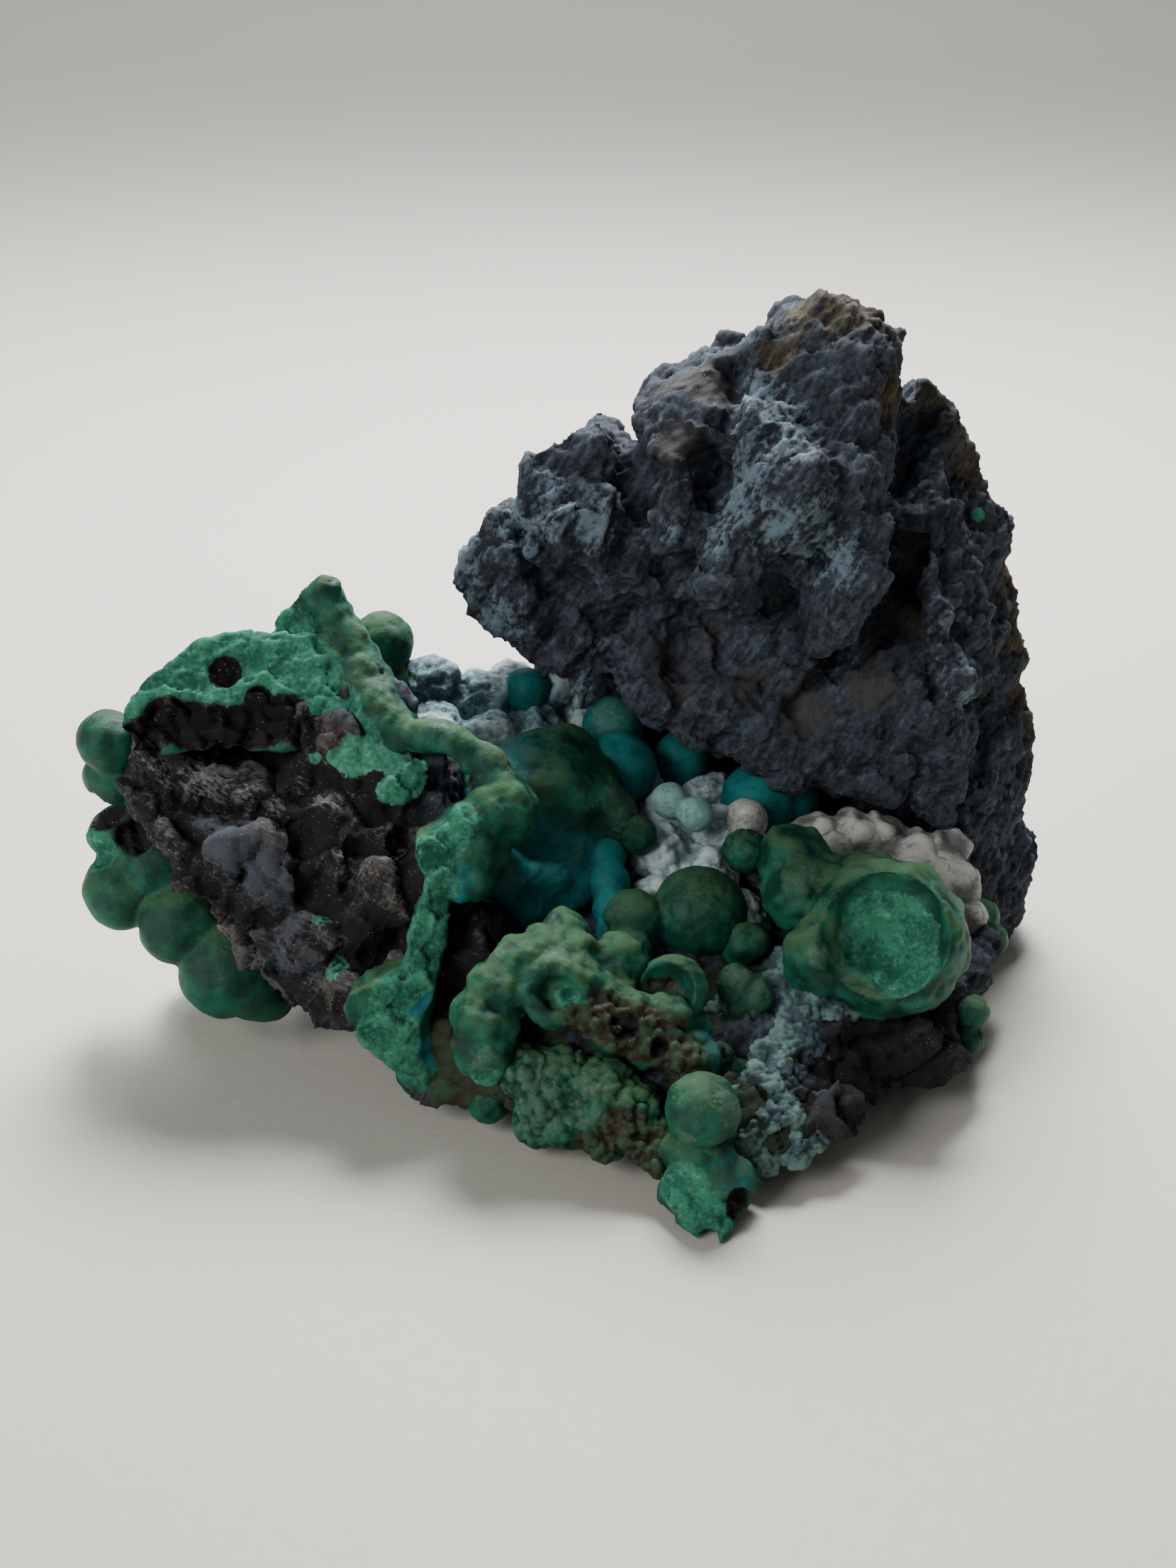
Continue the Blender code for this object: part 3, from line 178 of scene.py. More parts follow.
CLEFTS = {
    # name: how wide and how deep it is (raised where it is below zero), then its course
    "beside_the_facet": (
        0.9, 2.2, (11.1, 10.3, 49.5), (10.8, 7.4, 47.7), (10.1, 6.2, 45.6), (9.4, 6, 43.9),
    ),
    "below_the_facet": (
        0.8, 1.6, (9.4, 6, 43.9), (9.7, 5, 42), (9.4, 4.1, 40), (8.4, 3, 38.4), (8, 6.4, 34.9),
    ),
    "left_of_the_knob": (
        0.8, 1.5, (7.4, 5.8, 44.3), (5.1, 7, 42.9), (5, 7.1, 39.1), (5.8, 5.8, 36.7), (7.1, 4.9, 34.4),
    ),
    "between_the_lobes": (
        0.9, 1.8, (2.2, 12, 44.9), (3.2, 8.7, 43.2), (3, 8, 40.3), (2.2, 7, 37.6), (1.6, 6.2, 35.7),
    ),
    "under_the_first_lobe": (0.8, 1.6, (-3.5, 6.2, 38.4), (-1.9, 6, 36.4), (0.7, 6.4, 35.2)),
    "far_left": (0.8, 1.2, (-6.4, 8.9, 37.4), (-4.7, 7.9, 34.8), (-3.1, 8.1, 32.6), (-1.4, 8.4, 31.4)),
    "slanting_cleft": (
        1.1, 3, (25.1, 9, 36), (23.6, 8.8, 33.4), (22, 8.1, 31), (19.6, 5.8, 28.9), (17.8, 4.8, 26.6),
        (16.1, 4.4, 24),
    ),
    "recess": (2.2, 2.2, (22.8, 8.5, 31.9), (20.7, 6.2, 29.2), (19.7, 4.8, 26.6)),
    "right_of_the_pillar": (
        1.4, 2.8, (25.8, 13.4, 44.6), (25.4, 10.7, 42), (24.2, 5.2, 40.3), (25.1, 9, 36),
    ),
    "between_the_ribs": (
        0.9, 1.6, (24.8, 8.4, 34.1), (25.9, 6.1, 31.3), (26.8, 4.4, 28.9), (27.4, 3.8, 26.5),
    ),
    "right_of_the_ribs": (
        1, 1.8, (27.8, 8.7, 35.6), (28.7, 5.2, 32.7), (31.3, 7.4, 27.1), (32.9, 9.3, 21.1),
        (32.2, 6.7, 17.9),
    ),
    "cave": (3.4, 3, (4.4, 6, 30.2), (8, 6.8, 29), (11.6, 7, 28.4), (13.9, 5.8, 27.2)),
    "under_the_nose": (
        1.2, 1.8, (5.3, 5.2, 35.3), (7.7, 5.7, 32.5), (10.5, 7.2, 29.7), (13.4, 7.4, 29.7),
        (14.8, 7.3, 31.8),
    ),
    "beside_the_blade": (0.9, 1.5, (3.1, 6.3, 31.2), (2.1, 6.1, 28.2), (0.6, 7, 24.3)),
    "left_of_the_blade": (0.9, 1.2, (0.6, 7.4, 30.6), (-0.4, 7.7, 26.4)),
    "pillar_pits": (0.6, 1, (13.8, 4.8, 46.1), (14, 4.4, 45.7)),
    "pillar_seam": (
        0.7, 0.8, (17.5, 8.2, 48.7), (18.1, 5.2, 46.1), (18, 2.7, 43.1), (17.5, 2.4, 39.8),
        (17.2, 3.6, 35.9), (17, 4.7, 32.4),
    ),
    "overhang_seam": (0.8, 1, (15.9, 4.3, 23.5), (19.7, 3.5, 22.7), (23.8, 3.5, 22.4), (27.2, 3.2, 20.8)),
    "overhang_pit_row": (0.8, 1.2, (22.9, 3, 20.3), (26.8, 4, 17.5), (30.5, 4.8, 15.4)),
    "under_the_plate": (
        1, 2.6, (-32.9, -4.2, 27), (-30.7, -4.5, 26.5), (-28.5, -4.6, 25.4), (-27, -3.9, 23.9),
        (-24.8, -3, 23.5), (-22.7, -3.3, 24.8),
    ),
    "hole_under_the_plate": (1.5, 3, (-26.9, -4.5, 25.7), (-25.7, -2.7, 24.2), (-24.3, -4.4, 25.4)),
    "slot": (0.8, 2.4, (-23.6, -2.7, 29.2), (-24.3, -3.6, 28.2), (-25, -4.3, 27), (-25.3, -4.4, 26)),
    "below_the_ledge": (
        0.9, 1.6, (-33.2, -4.8, 22.8), (-30.8, -5.7, 22.2), (-28.5, -7, 21.2), (-26, -8, 20.9),
        (-23.7, -7.1, 21.1),
    ),
    "left_plate_seam": (0.8, 1.2, (-29.9, -7.4, 20.6), (-29.1, -8.9, 19.4), (-29.8, -9.5, 17.9)),
    "middle_seam": (
        0.8, 1.4, (-20.4, -5.6, 23.2), (-21.7, -6.7, 21.4), (-21.4, -7.7, 19.6), (-20.3, -9.2, 18.3),
        (-18.7, -10.8, 17.9),
    ),
    "middle_pit": (
        1, 1.8, (-22.8, -11.5, 14.5), (-21.9, -11.2, 15.8), (-20.9, -11.1, 16.7), (-20.1, -11.3, 17.3),
    ),
    "right_pit": (0.9, 1.6, (-15.6, -13.3, 12.1), (-15.1, -13.2, 13), (-13.8, -13.9, 14.3)),
    "right_seam": (
        0.8, 1.2, (-14.9, -7, 22.1), (-15.5, -9.1, 20.4), (-16.7, -10.2, 18.9), (-18.1, -11.8, 17.6),
        (-19.3, -11.9, 16.2), (-20.2, -11.8, 14.7),
    ),
    "lower_seam": (
        0.8, 1.2, (-27.9, -10.3, 16.2), (-26.6, -10.8, 15.2), (-24.6, -11.7, 14.7), (-23.6, -11.8, 12.9),
        (-22.7, -12.4, 11), (-21.6, -13, 9.9),
    ),
    "low_right_seam": (
        0.8, 1.1, (-20, -12.8, 11.7), (-18.3, -13.3, 11.6), (-16.8, -13.3, 11.6), (-15.5, -13.3, 12.2),
    ),
    "ridge_by_the_cleft": (
        1, -1.3, (23, 3.4, 40.4), (21.2, 2.9, 37.7), (19.4, 2.2, 34.9), (17.9, 3.2, 31.4),
        (16.8, 5.1, 27.5),
    ),
    "first_rib": (0.8, -1, (22.8, 8.6, 32.9), (24.5, 8, 31.6), (24.8, 6, 29.3), (25.6, 4, 26.9)),
    "second_rib": (0.8, -1, (26.2, 7.2, 33.5), (27.2, 4.7, 30.7), (28.9, 4.1, 26.9)),
    "ledge": (
        1.2, -1.4, (-33.2, -4.7, 25.8), (-31, -4.1, 23.7), (-28.2, -5.1, 22.8), (-25.3, -6.4, 22.2),
        (-22.8, -6.5, 21.9),
    ),
    "small_block": (1.3, -1, (6.9, 5.3, 43.3), (6.9, 3.9, 41.2), (7.1, 3.8, 38.8)),
    "nose": (1.7, -0.9, (8.5, 1.1, 36.4), (11.2, 0.3, 36.2)),
    "overhang_edge": (
        1.2, -0.8, (7.1, 5.9, 22.7), (11.2, 5.3, 20.9), (15, 3.7, 20), (19.9, 2.8, 19.3), (25.2, 4, 17.6),
    ),
}

# Where the rock's finishes and the painted shade of its caves lie, as balls that they fill: x, y, z, radius
FRACTURE = [
    (-24, -9, 18, 15), (-14, -13, 12, 8), (-30, -4, 26, 8), (-8, -12, 12, 5), (22, -16, 5, 7.5),
    (27, -13, 5, 5), (18, -22, 4, 4),
]
FLAKE = [(22, -16, 5.4, 6), (27, -13.5, 5, 4), (18.4, -22, 4, 3.2), (17, -18, 6, 2.4)]
MOSS = [
    (9, -13.3, 8.2, 3.6), (12, -11, 8.6, 3), (-9, -16, 6, 5), (-4, -18, 5, 5), (9, -20, 5, 4),
    (13, -22, 4, 3), (5, -12, 9, 3), (-14, -14, 4, 3.4), (6, -22, 3, 4),
]
POWDER = [
    (-31.8, -4.1, 23.7, 1.9), (-29.8, -4.7, 23.3, 2.1), (-27.8, -5.4, 22.6, 2.1), (-25.3, -6.6, 22.1, 1.9),
    (-28.2, -4.5, 23.4, 3.4), (-23.3, -6.6, 21.7, 1.7), (-21.7, -5.8, 22.7, 1.5), (-19.7, -7, 21.8, 1.7),
    (-17.8, -7, 22.8, 1), (-26.6, -11.2, 13.4, 1.3), (-25.4, -12, 11.4, 1.4), (-23.6, -13.2, 9.4, 1.4),
    (-21.6, -14.4, 7.8, 1.3),
]
SLATE_BLUE = [
    (-28.4, -7.3, 21, 2), (-27.3, -9, 20.1, 2.4), (-26.1, -9.5, 18.8, 2.4), (-24.2, -9.8, 17.9, 2.4),
    (-23.2, -10.8, 16.3, 2.4), (-23.7, -11.6, 14.9, 2), (-25.2, -11.7, 13.3, 2), (-23.2, -12.2, 11.5, 2.4),
    (-21.1, -12.4, 12, 2.2), (-24.9, -10.5, 8.5, 2.6), (-18.3, -12.7, 13.4, 1.5), (-22, -11.6, 14.1, 1.6),
    (-26, -10.5, 10.5, 1.9),
]
GREEN_FILM = [
    (-19.8, -8, 18.9, 0.8), (-20, -11.7, 16.1, 0.6), (-20.1, -12, 15, 0.6), (-18.7, -13.3, 11.1, 0.8),
    (-13.9, -10.8, 17.8, 0.9), (-17.4, -5, 25, 1.8), (-15.5, -4.6, 24.8, 1.5), (-20.4, -4.6, 24.6, 0.7),
    (-18.8, -5, 24.9, 0.8), (-13.8, -5.3, 23.6, 1.7), (-14.8, -6.5, 22.8, 1.1), (31.1, 13.4, 37.4, 0.7),
    (31, 13.2, 36.6, 0.5),
]
BLOOM = [
    (12.7, 8.5, 48.7, 2.4), (14.5, 6.3, 47.7, 2.8), (15, 4.3, 45.7, 2.8), (12.6, 4, 44.2, 2.8),
    (11.5, 3.5, 41.9, 2.8), (14.1, 2.1, 40.4, 2.8), (15.8, 2.3, 38.3, 2.2), (9.6, 2.9, 39.1, 1.8),
    (16.3, 2.2, 42.3, 2.4), (19.1, 2.7, 37.5, 2.4), (0.6, 7.3, 28.8, 1.4), (-0.1, 7.4, 25.2, 1.2),
    (-0.6, 7, 23.4, 1.2), (29.3, 5.1, 28.1, 1.6), (29.7, 4.2, 25.9, 1.8), (27.6, 4.7, 31.6, 1.4),
    (6.5, 4, 39.7, 1.4), (-9.5, 9.1, 35.1, 3.2), (-2.5, 5.6, 41.5, 3.4), (-5.4, 8.6, 38.6, 2.8),
    (-7, 8.4, 30.6, 2.8), (0.4, 6, 39, 2.4),
]
# The caves under the nose and in the recess: painted a darker brown-grey as painted shade in the hollows, and
# a little smoother
CAVE = [
    (3.6, 5.8, 29.4, 3.2), (6.8, 6.8, 27.3, 3.6), (10.2, 7.1, 28.8, 3.4), (12.9, 5.6, 26.7, 3),
    (21.5, 6.1, 29.3, 3), (24.9, 7.3, 30.6, 3), (22.4, 4.4, 26.5, 3.2), (17, 5, 24, 3.4),
]
OCHRE = [
    (14.4, 10.6, 50.9, 2.6), (16.4, 13, 52.8, 4), (18.6, 12.7, 53.6, 4.6), (21, 13.4, 52.4, 4.6),
    (21.6, 16, 53, 4), (22.4, 9.9, 48.3, 3.4), (27, 14, 47, 3), (31, 14, 41.5, 3.4), (36.2, 14, 27, 3.6),
    (36.6, 14, 22.6, 3.6), (36.8, 13.6, 18.6, 3.2), (34.8, 15, 32, 3.4), (37.2, 12.8, 13, 2.4),
    (29, 15, 44, 1.8),
]
FACET = [(6.6, 12.2, 47.7, 3), (9.4, 9.8, 49, 2.6), (7.1, 6.2, 45.5, 2.4), (5.3, 5.6, 44.3, 1.2)]


def boulder(corners):
    """A convex block through its corners."""
    bm = bmesh.new()
    for corner in corners:
        bm.verts.new(corner)
    hull = bmesh.ops.convex_hull(bm, input=bm.verts)
    inside = {v for v in hull["geom_interior"] + hull["geom_unused"] if isinstance(v, bmesh.types.BMVert)}
    bmesh.ops.delete(bm, geom=list(inside), context="VERTS")
    bmesh.ops.recalc_face_normals(bm, faces=bm.faces)
    return bm


def ball(x, y, z, radius):
    """A round ball, finer where it is large."""
    bm = bmesh.new()
    bmesh.ops.create_icosphere(bm, subdivisions=4 if radius < 3 else 5, radius=radius)
    bmesh.ops.translate(bm, verts=bm.verts, vec=(x, y, z))
    return bm


def gathered(name, shells):
    """One object that holds several closed shells, which may pass through each other."""
    mesh = bpy.data.meshes.new(name)
    together = bmesh.new()
    for shell in shells:
        shell.to_mesh(mesh)
        together.from_mesh(mesh)
        shell.free()
    together.to_mesh(mesh)
    together.free()
    thing = bpy.data.objects.new(name, mesh)
    bpy.context.scene.collection.objects.link(thing)
    return thing


def shaped_by(thing, kind, **settings):
    """Puts a modifier on the object and keeps its result as the object's mesh."""
    modifier = thing.modifiers.new(kind.title(), kind)
    for setting, value in settings.items():
        setattr(modifier, setting, value)
    graph = bpy.context.evaluated_depsgraph_get()
    mesh = bpy.data.meshes.new_from_object(thing.evaluated_get(graph))
    thing.modifiers.clear()
    thing.data = mesh
    return thing


def welded(thing, grain):
    """Makes all of the object's shells one closed skin of even squares."""
    return shaped_by(thing, "REMESH", mode="VOXEL", voxel_size=grain, adaptivity=0)


def cut_by(thing, cutter):
    """Takes the cutter's shape out of the object, and the cutter out of the scene."""
    shaped_by(thing, "BOOLEAN", operation="DIFFERENCE", solver="EXACT", object=cutter)
    bpy.data.objects.remove(cutter)
    return thing


def read(mesh, what):
    """The places or the normals of a mesh's points, one row each."""
    rows = np.empty(len(mesh.vertices) * 3, np.float32)
    mesh.vertices.foreach_get(what, rows)
    return rows.reshape(-1, 3).astype(float)


def raised(thing, lifts):
    """Moves each point of the surface outwards by its own lift."""
    moved = read(thing.data, "co") + read(thing.data, "normal") * np.asarray(lifts)[:, None]
    thing.data.vertices.foreach_set("co", moved.astype(np.float32).ravel())
    thing.data.update()
    return thing


def within(places, spots):
    """How far inside the nearest ball each place is: 1 in its middle, 0 at its edge, and less outside."""
    depth = np.full(len(places), -1.0)
    for x, y, z, radius in spots:
        depth = np.maximum(depth, 1 - np.linalg.norm(places - (x, y, z), axis=1) / radius)
    return depth


HIGHEST_RIB, DEEPEST_CLEFT = 1.5, 3.4


def clefts_at(places, lines):
    """How deep the clefts reach into the rock at each place, and how far it stands out, below zero."""
    depth = np.zeros(len(places))
    for width, deep, *course in lines.values():
        nearest = np.full(len(places), np.inf)
        for start, end in zip(np.array(course[:-1]), np.array(course[1:])):
            run = end - start
            along = np.clip((places - start) @ run / (run @ run), 0, 1)
            nearest = np.minimum(nearest, np.linalg.norm(places - start - along[:, None] * run, axis=1))
        depth += deep * np.exp(-((nearest / width) ** 2))
    return np.clip(depth, -HIGHEST_RIB, DEEPEST_CLEFT)


def remembered(thing, **values):
    """Keeps a number for each point of the mesh under its name, for the material to read."""
    for name, numbers in values.items():
        kept = thing.data.attributes.new(name, "FLOAT", "POINT")
        kept.data.foreach_set("value", np.asarray(numbers, np.float32))
    return thing


def settled(thing, material, slot, *nodes):
    """Moves a shaped piece over the origin, makes it metres, and lets it stand for its solids."""
    thing.data.transform(Matrix.Scale(MM, 4) @ Matrix.Translation(MIDDLE))
    thing.data.materials.clear()
    thing.data.materials.append(material)
    thing.data.shade_smooth()
    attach(thing, "root")
    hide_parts(*nodes)
    return thing


noise.seed_set(NOISE_SEED)  # without this the noise differs each time that Blender starts


def crag(place):
    """The height of the flat, tilted face of broken rock that the place is on, from about -0.5 to 0.5."""
    bent = place + noise.noise_vector(place * 1.7) * 0.18
    (nearest, second, *_), (heart, *_) = noise.voronoi(bent)
    crack = max(0.0, 0.10 - (second - nearest)) * 3
    return (bent - heart).dot(noise.cell_vector(heart)) * 0.8 + noise.cell(heart) * 0.2 - crack


def knob(place):
    """The height of a round bead that the place is on, from 0 between beads to 1 on top."""
    nearest = noise.voronoi(place)[0][0]
    return math.sqrt(max(0.0, 1 - (nearest / 0.72) ** 2))


def broken(place):
    """The rock's coarse relief: soft lumps with large tilted breaks on them."""
    lump = noise.fractal(place / LUMP_SPACING, 0.9, 2.0, 3) * LUMP_HEIGHT
    drawn = place - STREAK * (place.dot(STREAK) * CRAG_DRAW)
    return lump + crag(drawn / CRAG_SPACING) * CRAG_HEIGHT


def weathered(place, fresh, smooth):
    """The rock's fine relief: chips where it is freshly broken, drawn-out knobs where it has weathered."""
    drawn = place - STREAK * (place.dot(STREAK) * STREAK_DRAW)
    chip = crag((place + drawn) / (2 * CHIP_SPACING)) * CHIP_HEIGHT
    ridges = noise.ridged_multi_fractal(drawn / STREAK_SPACING, 0.8, 2.1, 3, 0.9, 1.8)
    streak = (ridges - 0.75) * STREAK_HEIGHT
    knobs = (knob(place / KNOB_SPACING) - 0.5) * KNOB_HEIGHT
    grit = noise.fractal(place / GRIT_SPACING, 0.7, 2.0, 2) * GRIT_HEIGHT
    slab = crag(place / SLAB_SPACING) * SLAB_HEIGHT
    old = streak + knobs + chip
    new = slab + chip * 0.7 + streak * 0.4
    return (old * (1 - fresh) + new * fresh) * (1 - smooth * 0.75) + grit


rock = welded(gathered("host_rock_whole", [boulder(b) for b in HOST_ROCK.values()]), WELD)
even = 1 - np.clip(within(read(rock.data, "co"), FACET) * 2.5, 0, 0.85)
wander = np.array([v.co + noise.noise_vector(v.co / WANDER_SPACING) * WANDER for v in rock.data.vertices])
rough = np.array([broken(v.co) for v in rock.data.vertices])
raised(rock, rough * even - clefts_at(wander, CLEFTS))
welded(rock, ROCK_GRAIN)
cut_by(rock, welded(gathered("pockets", [ball(*b) for b in ROCK_POCKETS]), ROCK_GRAIN))
shaped_by(rock, "SMOOTH", factor=0.5, iterations=2)
ground = read(rock.data, "co")
fresh = np.clip(within(ground, FRACTURE) * 3, 0, 1)
smooth = np.clip(np.maximum(within(ground, FACET), within(ground, CAVE) * 0.3) * 2.5, 0, 1)
relief = np.array([weathered(v.co, f, s) for v, f, s in zip(rock.data.vertices, fresh, smooth)])
remembered(
    rock, relief=relief, fresh=fresh, powder=within(ground, POWDER), slate=within(ground, SLATE_BLUE),
    green=within(ground, GREEN_FILM), bloom=within(ground, BLOOM), cave=within(ground, CAVE),
    ochre=within(ground, OCHRE), facet=within(ground, FACET), moss=within(ground, MOSS),
    flake=within(ground, FLAKE),
)
raised(rock, relief)


class Wire:
    """One socket of a material's nodes, so that a shader is written as plain arithmetic."""

    def __init__(self, tree, socket):
        self.tree, self.socket = tree, socket

    def node(self, kind, settings, sockets, out=0):
        """Any node: its settings first, then a value or a link for each socket that is named."""
        made = self.tree.nodes.new(kind)
        for setting, value in settings.items():
            setattr(made, setting, value)
        for name, value in sockets.items():
            if isinstance(value, Wire):
                self.tree.links.new(value.socket, made.inputs[name])
            else:
                made.inputs[name].default_value = value
        return Wire(self.tree, made.outputs[out])

    def math(self, operation, *terms):
        return self.node("ShaderNodeMath", {"operation": operation}, dict(enumerate(terms)))

    def __add__(self, other):
        return self.math("ADD", self, other)

    def __sub__(self, other):
        return self.math("SUBTRACT", self, other)

    def __rsub__(self, other):
        return self.math("SUBTRACT", other, self)

    def __mul__(self, other):
        return self.math("MULTIPLY", self, other)

    __radd__, __rmul__ = __add__, __mul__


def new_skin(name):
    """A material without a surface yet, and the place on the object in millimetres."""
    material = bpy.data.materials.new(name)
    material.use_nodes = True
    tree = material.node_tree
    tree.nodes.clear()
    start = Wire(tree, None).node("ShaderNodeTexCoord", {}, {}, out="Object")
    return material, start.node("ShaderNodeVectorMath", {"operation": "SCALE"}, {0: start, "Scale": 1 / MM})


def surface(material, colour, rough, height, depth, gloss=0.35):
    """Ends a material: its colour, its roughness, and a relief of so many millimetres."""
    bump = {"Height": height, "Distance": depth * MM, "Strength": 1.0}
    normal = colour.node("ShaderNodeBump", {}, bump)
    sockets = {"Base Color": colour, "Roughness": rough, "Normal": normal, "Specular IOR Level": gloss}
    shader = colour.node("ShaderNodeBsdfPrincipled", {}, sockets)
    output = material.node_tree.nodes.new("ShaderNodeOutputMaterial")
    material.node_tree.links.new(shader.socket, output.inputs["Surface"])
    return material


def cloud(place, spacing, detail=4.0, rough=0.6):
    """Soft blotches about this many millimetres apart, from 0 to 1 around a half."""
    sockets = {"Vector": place, "Scale": 1 / spacing, "Detail": detail, "Roughness": rough}
    return place.node("ShaderNodeTexNoise", {}, sockets)


def dots(place, spacing):
    """The distance from the nearest of many scattered dots, in parts of their spacing."""
    return place.node("ShaderNodeTexVoronoi", {}, {"Vector": place, "Scale": 1 / spacing})


def drawn_out(place, along, share):
    """The place, pressed together along a direction, so that what is painted with it becomes streaks."""
    far = place.node("ShaderNodeVectorMath", {"operation": "DOT_PRODUCT"}, {0: place, 1: along}, out="Value")
    part = place.node("ShaderNodeVectorMath", {"operation": "SCALE"}, {0: along, "Scale": far * share})
    return place.node("ShaderNodeVectorMath", {"operation": "SUBTRACT"}, {0: place, 1: part})


def stored(place, name):
    """A number that was remembered for each point of the mesh."""
    return place.node("ShaderNodeAttribute", {"attribute_name": name}, {}, out="Fac")


def ramp(value, low, high):
    """0 below the low value, 1 above the high one, and smooth between them."""
    ends = {"Value": value, "From Min": low, "From Max": high}
    return value.node("ShaderNodeMapRange", {"interpolation_type": "SMOOTHSTEP"}, ends)


def blend(amount, under, over):
    """The colour under, covered by the colour over by this amount."""
    return amount.node("ShaderNodeMix", {"data_type": "RGBA"}, {0: amount, 6: under, 7: over}, out=2)


def rgb(red, green, blue):
    return (red, green, blue, 1.0)


# The crevice colour is near-black painted shade for the rock's crevices.
CREVICE_SHADE, SLATE, SLATE_LIGHT = rgb(0.008, 0.010, 0.013), rgb(0.032, 0.041, 0.057), rgb(0.090, 0.118, 0.150)
# The cave brown is painted shade for the rock's hollows.
BLOOM_BLUE, CAVE_SHADE_BROWN = rgb(0.118, 0.165, 0.205), rgb(0.040, 0.039, 0.039)
FRESH_BLACK, FRESH_BROWN = rgb(0.006, 0.005, 0.005), rgb(0.052, 0.046, 0.043)
POWDER_GREY, POWDER_BLUE = rgb(0.135, 0.140, 0.150), rgb(0.047, 0.055, 0.068)
MOSS_BROWN, MOSS_GREEN = rgb(0.022, 0.019, 0.011), rgb(0.022, 0.046, 0.022)
OCHRE_LIGHT, OCHRE_DARK = rgb(0.082, 0.064, 0.034), rgb(0.024, 0.020, 0.013)
MINT, MINT_LIGHT, MINT_DEEP = rgb(0.033, 0.172, 0.104), rgb(0.085, 0.275, 0.185), rgb(0.008, 0.080, 0.050)
FLAKE_BLACK, FACET_BLACK = rgb(0.022, 0.023, 0.026), rgb(0.009, 0.0085, 0.010)
# A near-white for painted glints, which stand in for highlights.
GLINT_WHITE = rgb(0.400, 0.390, 0.370)
DUST_RUN = Vector((0.85, -0.2, -0.5))


def rock_look(place):
    """The host rock's colour, roughness and height."""
    relief = stored(place, "relief")
    grain = cloud(place, 0.45, 6.0, 0.65)
    patch = cloud(place, 2.6, 4.0)
    streak = cloud(drawn_out(place, STREAK, 0.85), 0.42, 4.0, 0.6)
    # The level is the stored relief with grain and streaks. Where it is low the colour goes near-black, which
    # is painted shade in the crevices, and the later blends keep the low places darker too.
    level = relief * 0.6 + grain * 0.9 + streak * 0.7 - 0.8
    colour = blend(ramp(level, -0.22, 0.12), CREVICE_SHADE, SLATE)
    colour = blend(ramp(level + patch * 0.5 - 0.25, 0.04, 0.45), colour, SLATE_LIGHT)
    bloom = ramp(stored(place, "bloom") * 0.5 + level * 1.2 + patch * 0.6 - 0.26, 0.06, 0.52)
    colour = blend(bloom * 0.85, colour, BLOOM_BLUE)
    # The caves are painted a dull dark brown-grey over the blue bloom: painted shade in the hollows.
    cave = ramp(stored(place, "cave") + patch - 0.5, 0.0, 0.5)
    colour = blend(cave * ramp(level, -0.5, 0.2), colour, CAVE_SHADE_BROWN)
    fresh = ramp(stored(place, "fresh") + patch * 0.4 - 0.2, 0.3, 0.7)
    black = blend(ramp(level * 1.4 + patch * 0.9 - 0.45, 0.0, 0.42), FRESH_BLACK, FRESH_BROWN)
    colour = blend(fresh, colour, black)
    dust = cloud(drawn_out(place, DUST_RUN, 0.7), 0.3, 5.0, 0.7)
    powdered = stored(place, "powder")
    powdered = powdered.math("MAXIMUM", powdered, fresh * 1.18 - 1.0)
    powder = ramp(powdered * 0.55 + dust * 1.3 + level * 0.3 - 0.7, 0.10, 0.42)
    colour = blend(powder, colour, POWDER_GREY)
    slate = ramp(stored(place, "slate") * 0.6 + dust * 1.3 + level * 0.5 - 0.68, 0.05, 0.38)
    colour = blend(slate, colour, POWDER_BLUE)
    mossy = ramp(stored(place, "moss") + grain * 0.6 - 0.3, 0.0, 0.2)
    colour = blend(mossy, colour, blend(ramp(patch + level * 0.6, 0.35, 0.65), MOSS_BROWN, MOSS_GREEN))
    ochre = ramp(stored(place, "ochre") * 0.4 + grain * 0.8 + streak * 0.6 + patch * 0.4 - 0.94, 0.02, 0.34)
    colour = blend(ochre, colour, blend(ramp(streak, 0.4, 0.65), OCHRE_DARK, OCHRE_LIGHT))
    film = ramp(stored(place, "green") + dust * 0.7 - 0.35, 0.02, 0.14)
    colour = blend(film, colour, blend(ramp(grain, 0.4, 0.65), MINT, MINT_LIGHT))
    flake = ramp(stored(place, "flake") + grain * 0.6 - 0.3, 0.0, 0.12)
    flaked = blend(ramp(level + patch * 0.5 - 0.3, 0.0, 0.4), FRESH_BLACK, FLAKE_BLACK)
    colour = blend(flake, colour, flaked)
    # White dots painted on as glints: painted highlights, most on the fresh break and on the smooth facet.
    glints = ramp(0.10 - dots(place, 0.42) + patch * 0.10 - 0.05, 0.0, 0.05)
    colour = blend(glints * (0.2 + fresh * 0.6 - flake * 0.3), colour, GLINT_WHITE)
    smooth = ramp(stored(place, "facet"), 0.0, 0.3)
    colour = blend(smooth * 0.95, colour, blend(glints, FACET_BLACK, GLINT_WHITE))
    rough = 0.92 - glints * 0.45 - smooth * 0.15
    return colour, rough, grain * 0.6 + streak * 0.4 + dust * 0.3


WALL_END, BASE_TOP = (-5, 0, 0), (0, 0, 15)
ABOVE_TABLE = ((0, 0, 0), (0, 0, 1))
ROCK_CUTS = {
    # name: planes that bound the piece, each a point on it and the side that is kept
    "host_rock_left_wall": [(WALL_END, (-1, 0, 0))],
    "host_rock_block": [(WALL_END, (1, 0, 0)), (BASE_TOP, (0, 0, 1))],
    "host_rock_base": [(WALL_END, (1, 0, 0)), (BASE_TOP, (0, 0, -1))],
}


